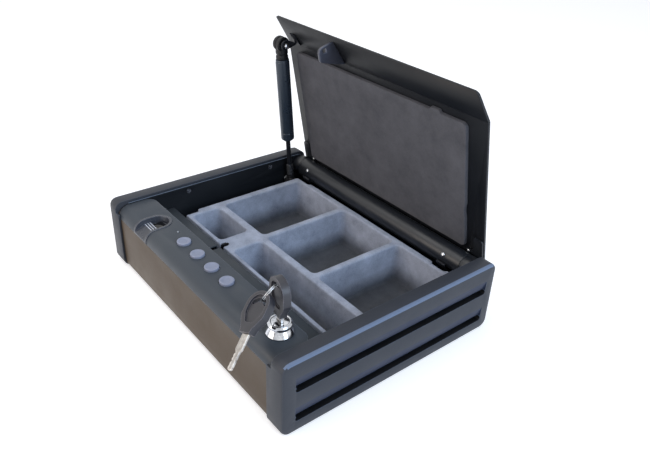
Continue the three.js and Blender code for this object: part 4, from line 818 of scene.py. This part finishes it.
# The first key stands in the lock; the spare hangs by its bow's hole and points to spareTip.
keyTurn = math.radians(-9)
keyNeck = np.array([lockPoint[0], lockPoint[1], 86.0])
spareSlot = keyNeck + (-3.9, -13.5, 17.2)
spareTip = keyNeck + (18.6, -60.2, -17.6)
spareReach = 28.1  # from the bow's hole to the start of the blade
spareRoll = math.radians(-25)
spareUp = unit(spareSlot - spareTip)
level = unit(np.cross((0, 0, 1), spareUp))
spareSide = level * math.cos(spareRoll) + np.cross(spareUp, level) * math.sin(spareRoll)
makeBlade("key_blade", standing(keyNeck, (0, 0, 1), (math.cos(keyTurn), math.sin(keyTurn), 0)))
makeBlade("spare_key_blade", standing(spareSlot - spareUp * spareReach, spareUp, spareSide))

# Split ring: one wire wound twice, the turns lying side by side.
ringShape = {"radius": 10.4, "wire": 0.6, "turns": 2.0}
ringCentre = keyNeck + (-6.4, -3.5, 19.1)
ringNormal = unit((0.831, 0.295, -0.472))


def makeRing(values):
    along = np.linspace(0, 1, 220)
    angle = tau * values["turns"] * along
    rise = (along - 0.5) * 2 * values["wire"] * values["turns"]
    path = np.stack([values["radius"] * np.cos(angle), values["radius"] * np.sin(angle), rise], -1)
    points = wirePoints(path, values["wire"], (0, 0, 1), 12)
    place = standing(ringCentre, ringNormal, (0, 1, 0))
    fit(drawnIn("key_ring_coil", points, "wireSteel", place, 60), "key_ring")


makeRing(ringShape)
print("keys and ring made")

# Hinge: a long barrel and four rivets, whose domes are (radius, height, rounding).
barrelWall = 1.7
barrelLow, barrelHigh, _ = boxOf("hinge_barrel")
barrelRadius = (barrelHigh[2] - barrelLow[2]) / 2
fit(turned("hinge_tube", [
    (barrelRadius - barrelWall, barrelLow[0]), (barrelRadius, barrelLow[0], 0.4),
    (barrelRadius, barrelHigh[0], 0.4), (barrelRadius - barrelWall, barrelHigh[0]),
], "barrelSkin", crosswise(hingePoint * (0, 1, 1)), 72, hollow=True), "hinge_barrel")

rivetAngle = math.radians(156)
rivetOnLid = (122.8, 104.15, 67.5)  # with the lid closed
domeCorners = [
    (0, -3.2), (1.2, -3.2, 0.15), (1.2, 0.3), (2.3, 0.3, 0.1), (2.25, 0.9, 0.5), (1.2, 1.55, 0.8), (0, 1.65),
]
for side in ("left", "right"):
    x = boxOf(f"barrel_rivet_{side}")[2][0]
    onBarrel = np.array([0, math.cos(rivetAngle), math.sin(rivetAngle)])
    onLid = np.array(rivetOnLid) * (math.copysign(1, x), 1, 1) - hingePoint
    for part, seat, outwards in (
            ("barrel", hingePoint * (0, 1, 1) + (x, 0, 0) + onBarrel * barrelRadius, onBarrel),
            ("lid", put(onLid, lidPlace)[0], lidPlace[0] @ (0, 0, -1.0))):
        dome = turned(f"{part}_dome_{side}", domeCorners, "wireSteel", standing(seat, outwards), 36)
        fit(dome, f"{part}_rivet_{side}")

# Wall screws: countersunk heads with a cross recess.
screwShape = {"shank": 1.4, "head": 2.7, "length": 8.0, "sheet": 1.5, "proud": 0.3,
              "slotHalf": 0.36, "slotReach": 1.45, "slotDepth": 0.9}


def crossRecess(points):
    # the head's face sinks where |x| or |y| is within the slot and the other within its reach
    x, y, z = points[..., 0], points[..., 1], points[..., 2]
    near, far = np.minimum(np.abs(x), np.abs(y)), np.maximum(np.abs(x), np.abs(y))
    within = np.clip((screwShape["slotHalf"] - near) / 0.12 + 0.5, 0, 1)
    within *= np.clip((screwShape["slotReach"] - far) / 0.2 + 0.5, 0, 1)
    face = z > screwShape["proud"] - 0.45
    points[..., 2] = z - within * face * screwShape["slotDepth"]
    return points


def makeScrew(node):
    low, high, (x, y, z) = boxOf(node)
    side = math.copysign(1, x)
    wall = abs((low if side > 0 else high)[0]) + screwShape["proud"]
    shank, head, proud = (screwShape[key] for key in ("shank", "head", "proud"))
    # the face has rings enough for the recess
    face = [(head * (1 - t), proud) for t in np.linspace(0.05, 0.97, 24)]
    corners = [
        (0, -screwShape["length"]), (shank, -screwShape["length"], 0.2), (shank, -screwShape["sheet"]),
        (head, 0, 0.05), *face, (0, proud),
    ]
    place = standing((side * wall, y, z), (-side, 0, 0), (0, 1, 1))
    fit(turned(node + "_head", corners, "screwZinc", place, 64, carve=crossRecess), node)


for side in ("left", "right"):
    for end in ("front", "rear"):
        makeScrew(f"wall_screw_{side}_{end}")
print("hinge, rivets and screws made")

# Gas strut, built from its foot upwards along its own line.
strutShape = {"length": 169.0, "tubeStart": 54.8, "tubeEnd": 152.3, "tubeRadius": 7.6, "rodRadius": 2.7,
              "bootStart": 9.3, "bootRibs": 7, "ribPitch": 1.9, "ribRadius": 4.0}
strutPlace = standing(strutFoot, strutLine)
strutTop = strutFoot + strutLine * strutShape["length"]


def makeStrut(values):
    start, end, radius = (values[key] for key in ("tubeStart", "tubeEnd", "tubeRadius"))
    # the tube has one pressed ring near its foot and a slightly smaller collar at its head
    tube = [
        (2.9, start), (4.6, start, 0.5), (radius, start + 2.6, 1.6), (radius, start + 10.2, 0.3),
        (radius - 0.25, start + 10.8, 0.2), (radius - 0.25, start + 11.3, 0.2), (radius, start + 11.9, 0.3),
        (radius, end - 3.2, 0.4), (radius - 0.3, end - 2.6, 0.3), (radius - 0.3, end, 0.8), (0, end),
        (0, start + 60), (5.35, start + 60), (5.35, start + 3), (2.9, start + 3),
    ]
    fit(turned("strut_tube", tube, "strutPaint", strutPlace, 64, hollow=True), "strut_cylinder")
    foot, rodRadius = values["bootStart"], values["rodRadius"]
    rod = [
        (0, foot), (rodRadius, foot, 0.2), (rodRadius, start + 14), (5.05, start + 14, 0.3),
        (5.05, start + 20, 0.3), (0, start + 20),
    ]
    fit(turned("strut_piston", rod, "darkSteel", strutPlace, 48), "strut_rod")
    bases = foot + 0.6 + values["ribPitch"] * np.arange(values["bootRibs"] + 1)
    ribs = [corner for base in bases[:-1] for corner in (
        (2.9, base, 0.25), (values["ribRadius"], base + 0.5, 0.25), (values["ribRadius"], base + 0.9, 0.25),
        (2.9, base + 1.4, 0.25))]
    boot = [(2.8, foot), (3.3, foot, 0.2), *ribs, (2.9, bases[-1], 0.1), (2.8, bases[-1])]
    fit(turned("strut_bellows", boot, "softRubber", strutPlace, 48, hollow=True), "strut_boot")


def makeSocket(node, name, centre, headRadius, neckRadius, neckLength, up):
    # a waisted disc across the strut, a ribbed neck along it
    edge, waist, slim = headRadius - 0.7, headRadius - 0.8, neckRadius - 0.6
    disc = turned("disc", [
        (0, -5.4), (edge, -5.4, 1.2), (headRadius, -4.2, 0.8), (headRadius, -1.0, 0.5), (waist, -0.6, 0.3),
        (waist, 0.6, 0.3), (headRadius, 1.0, 0.5), (headRadius, 4.2, 0.8), (edge, 5.4, 1.2), (0, 5.4),
    ], "blackPlastic", crosswise(centre), 56)
    neck = turned("neck", [
        (0, 0), (neckRadius - 0.2, 0), (neckRadius, neckLength * 0.6, 0.5), (slim, neckLength * 0.66, 0.3),
        (slim, neckLength * 0.74, 0.3), (neckRadius, neckLength * 0.8, 0.4),
        (neckRadius, neckLength - 0.3, 0.3), (0, neckLength),
    ], "blackPlastic", standing(centre, up), 48)
    fit(joined(name, disc, neck), node)


makeStrut(strutShape)
makeSocket("strut_lower_socket", "strut_foot_socket", strutFoot, 6.0, 4.4, 9.0, strutLine)
makeSocket("strut_upper_socket", "strut_head_socket", strutTop, 7.9, 6.7, 16.4, -strutLine)

# Ball studs, as (radius, height, rounding) along the safe's X.
fit(turned("strut_foot_ball", [
    (0, -7.2), (5.0, -7.2, 0.2), (5.0, -6.4, 0.3), (2.0, -6.4, 0.2), (2.0, -2.6, 0.2), (3.0, -1.6, 0.3),
    (3.4, 0, 1.6), (2.9, 1.8, 1.0), (1.5, 3.1, 0.6), (0, 3.4),
], "chromePlate", crosswise(strutFoot), 48), "strut_lower_ball")
fit(turned("strut_head_ball", [
    (0, -3.4), (1.5, -3.1, 0.6), (2.9, -1.8, 1.0), (3.4, 0, 1.6), (3.0, 1.6, 0.3), (2.0, 2.6, 0.2),
    (2.0, 6.3, 0.2), (0, 6.3),
], "chromePlate", crosswise(strutTop), 48), "strut_upper_ball")
(studEnd, _, _), (studTip, _, _), studMiddle = boxOf("strut_stud")
fit(turned("strut_lid_stud", [
    (0, studEnd), (1.6, studEnd, 0.2), (1.6, studTip - 2.3), (2.7, studTip - 2.3, 0.2),
    (2.7, studTip - 0.6, 0.6), (1.4, studTip, 0.3), (0, studTip),
], "chromePlate", crosswise(studMiddle * (0, 1, 1)), 40), "strut_stud")
print("strut made")

# Lid pad: a thin felt-faced foam sheet, its edge rolled over, its face a little uneven.
padShape = {"left": -124.5, "right": 118.8, "front": -33.0, "rear": 101.0, "top": 69.1, "thickness": 3.4,
            "corner": 5.0, "roll": 0.6, "pitch": 1.7, "wander": 0.18, "waves": 0.12,
            "tabX": 82.3, "tabHalf": 6.0, "tabReach": 2.6, "nickY": 59.0, "nickHalf": 6.0, "nickDepth": 1.1}


def unevenness(x, y, seed):
    # sum of a few slow waves whose directions and phases are fixed by the seed
    source = np.random.default_rng(seed)
    total = np.zeros_like(x)
    for size in (95.0, 61.0, 37.0, 23.0, 14.0):
        a, phase = source.uniform(0, tau, 2)
        total += np.sin((x * math.cos(a) + y * math.sin(a)) * tau / size + phase) * size / 95.0
    return total / 2.2


def steppedLine(low, high, pitch):
    # even steps between two edges, and finer ones near them for the rolled edge
    edges = np.array((0, 0.06, 0.18, 0.36, 0.6, 1.2, 2.2))
    inner = np.linspace(low + 3.4, high - 3.4, int((high - low) / pitch))
    return np.concatenate([low + edges, inner, (high - edges)[::-1]])


def makePad(values):
    # a grid over the rectangle, its corners drawn in to arcs; height follows the distance d from the edge:
    # thickness * sqrt(1 - (1 - d / roll)^2) up to the roll, flat beyond it
    left, right, front, rear, r = (values[key] for key in ("left", "right", "front", "rear", "corner"))
    u, v = steppedLine(left, right, values["pitch"]), steppedLine(front, rear, values["pitch"])
    x, y = np.meshgrid(u, v, indexing="ij")
    midX, midY, halfX, halfY = (left + right) / 2, (front + rear) / 2, (right - left) / 2, (rear - front) / 2
    dx, dy = np.abs(x - midX) - (halfX - r), np.abs(y - midY) - (halfY - r)
    inCorner = (dx > 0) & (dy > 0)
    pull = np.where(inCorner, np.maximum(dx, dy) / np.maximum(np.hypot(dx, dy), 1e-9), 1.0)
    dx2, dy2 = np.where(inCorner, dx * pull, dx), np.where(inCorner, dy * pull, dy)
    x = midX + np.sign(x - midX) * (dx2 + halfX - r)
    y = midY + np.sign(y - midY) * (dy2 + halfY - r)
    outside = np.where(inCorner, np.hypot(dx2, dy2), np.maximum(dx2, dy2))
    edge = np.clip(r - outside, 0, None)
    # the glued sheet's edge wanders, with one tab at the front and one nick at the right
    wander = values["wander"] * unevenness(x, y, 5) * np.exp(-edge / 6.0)
    tab = values["tabReach"] * np.clip((values["tabHalf"] - np.abs(x - values["tabX"])) / 0.8, 0, 1)
    nick = values["nickDepth"] * np.clip(1.4 - np.abs(y - values["nickY"]) / values["nickHalf"], 0, 1)
    frontShare = np.exp(-((y - front) / 4.0) ** 2)
    rightShare = np.exp(-((x - right) / 3.0) ** 2)
    y = y - tab * frontShare + np.sign(y - midY) * wander * 0.5
    x = x - nick * rightShare + np.sign(x - midX) * wander * 0.5
    share = np.clip(edge / values["roll"], 0, 1)
    height = values["thickness"] * np.sqrt(np.clip(1 - (1 - share) ** 2, 0, 1))
    height = height + values["waves"] * unevenness(x, y, 11) * share - 0.1 * share
    face = np.stack([x, y, values["top"] - height], -1)
    back = np.stack([x, y, values["top"] + 0 * height], -1)
    points = np.stack([face, back]).reshape(-1, 3) - hingePoint
    faces = gridFaces(*x.shape)
    faces = np.concatenate([faces, faces[:, ::-1] + x.size])
    pad = surface("lid_pad_felt", points, faces, "padFelt", lidPlace, 60)
    fit(pad, "lid_pad")


makePad(padShape)
print("lid pad made")

# Tray: the frame's tray remeshed fine, its edges softened by the flock that covers it.
trayShape = {"voxel": 1.45, "smoothing": 2, "wobble": 0.3, "sink": 0.15,
             "wallLines": (-54.0, -46.3, -16.5), "wallPlaces": (-54.0, -49.7, -16.5),
             "slotX": -44.2, "slotHalf": 3.1, "slotRear": -40.0, "slotTop": 49.5}


def makeTray(values):
    mesh, work = merged("tray")
    work.to_mesh(mesh)
    work.free()
    base = addObject("trayBase", mesh)
    remesh = base.modifiers.new("remesh", "REMESH")
    remesh.mode, remesh.voxel_size = "VOXEL", values["voxel"] * mm
    smooth = base.modifiers.new("smooth", "SMOOTH")
    smooth.factor, smooth.iterations = 0.5, values["smoothing"]
    mesh = applied(base)
    points, normals = readRows(mesh.vertices, "co"), readRows(mesh.vertex_normals, "vector")
    x, y, z = (points / mm).T
    # the front wall is thinned: lines along y move to their places, and all between moves in proportion
    front, rear = values["wallLines"][0], values["wallLines"][-1]
    placed = np.interp(y, values["wallLines"], values["wallPlaces"])
    points[:, 1] = np.where((y > front) & (y < rear), placed, y) * mm
    # pressed fibre is never flat: slow waves move the skin in and out along its normal
    wave = unevenness(x + z * 0.7, y + z * 1.3, 3) * 0.6 + unevenness(x - z, y, 8) * 0.4
    writePoints(mesh, points + normals * (wave * values["wobble"] - values["sink"])[:, None] * mm)
    tray = fit(linkMesh("tray_flocked", mesh, "trayFlock", 80), "tray")
    # the slot for the lid's catch gets the black finish on its walls: painted shade for the deep narrow notch
    tray.data.materials.append(finishes["blackPlastic"])
    x, y, z = readRows(tray.data.polygons, "center").T / mm
    slot = (np.abs(x - values["slotX"]) < values["slotHalf"]) & (z < values["slotTop"])
    slot &= y < values["slotRear"]
    tray.data.polygons.foreach_set("material_index", slot.astype(np.int32))


makeTray(trayShape)
print("tray made")

studio = {"floorReach": 6000, "floorDrop": 0.4, "floorTone": "#f4f4f4", "floorLift": 0.5,
          "ambientTint": (0.86, 0.9, 1.0, 1), "ambient": 0.42}


def seenRays(tree):
    # 1 for what the camera sees, also by reflection or through glass, and 0 for light on the object
    path = addNode(tree, "ShaderNodeLightPath").outputs
    seen = arithmetic(tree, "MAXIMUM", path["Is Camera Ray"], path["Is Glossy Ray"])
    return arithmetic(tree, "MAXIMUM", seen, path["Is Transmission Ray"])


def makeFloor():
    reach, drop = studio["floorReach"], studio["floorDrop"]
    corners = [(-reach, -reach), (reach, -reach), (reach, reach), (-reach, reach)]
    mesh = bpy.data.meshes.new("studioFloor")
    mesh.from_pydata([(x * mm, y * mm, -drop * mm) for x, y in corners], [], [(0, 1, 2, 3)])
    floor = addObject("studioFloor", mesh)
    finish, tree, shader, _ = startFinish("floorPaper", {
        "Base Color": tone(studio["floorTone"]), "Roughness": 0.9, "Specular IOR Level": 0.1,
        "Emission Color": (1, 1, 1, 1),
    })
    lift = arithmetic(tree, "MULTIPLY", seenRays(tree), studio["floorLift"])
    tree.links.new(lift, shader["Emission Strength"])
    mesh.materials.append(finish)


def makeWorld():
    world = bpy.data.worlds.new("studioWorld")
    bpy.context.scene.world = world
    world.use_nodes = True
    tree = world.node_tree
    tree.nodes.clear()
    ambient = addNode(tree, "ShaderNodeBackground", {
        "Color": studio["ambientTint"], "Strength": studio["ambient"],
    }).outputs[0]
    white = addNode(tree, "ShaderNodeBackground", {"Color": (1, 1, 1, 1), "Strength": 1.0}).outputs[0]
    mix = addNode(tree, "ShaderNodeMixShader", {0: seenRays(tree), 1: ambient, 2: white}).outputs[0]
    addNode(tree, "ShaderNodeOutputWorld", {"Surface": mix})


# Lamps face lampAim; their power is in watts.
lampAim = (0, 0, 60)
lamps = {
    "overheadSoft": {
        "at": (-500, -500, 1700), "size": (1500, 1500), "power": 11.0, "tint": (1.0, 0.98, 0.96)},
    "rightSky": {"at": (1500, 250, 900), "size": (1100, 900), "power": 17.0, "tint": (0.62, 0.78, 1.0)},
    "frontWarm": {"at": (-300, -1600, 500), "size": (1200, 800), "power": 10.0, "tint": (1.0, 0.87, 0.76)},
}


def makeLamp(name, values):
    # an area lamp shines along its own -Z, so its Z points back from the aim
    data = bpy.data.lights.new(name, "AREA")
    data.shape, data.energy, data.color = "RECTANGLE", values["power"], values["tint"]
    data.size, data.size_y = (side * mm for side in values["size"])
    at = np.array(values["at"], float)
    rotation, _ = standing(at, at - np.array(lampAim), (1, 0.01, 0))
    turnTo(addObject(name, data), rotation, at)


makeFloor()
makeWorld()
for name, values in lamps.items():
    makeLamp(name, values)
bpy.context.scene.view_settings.view_transform = "Standard"
print("floor, world and lamps made")
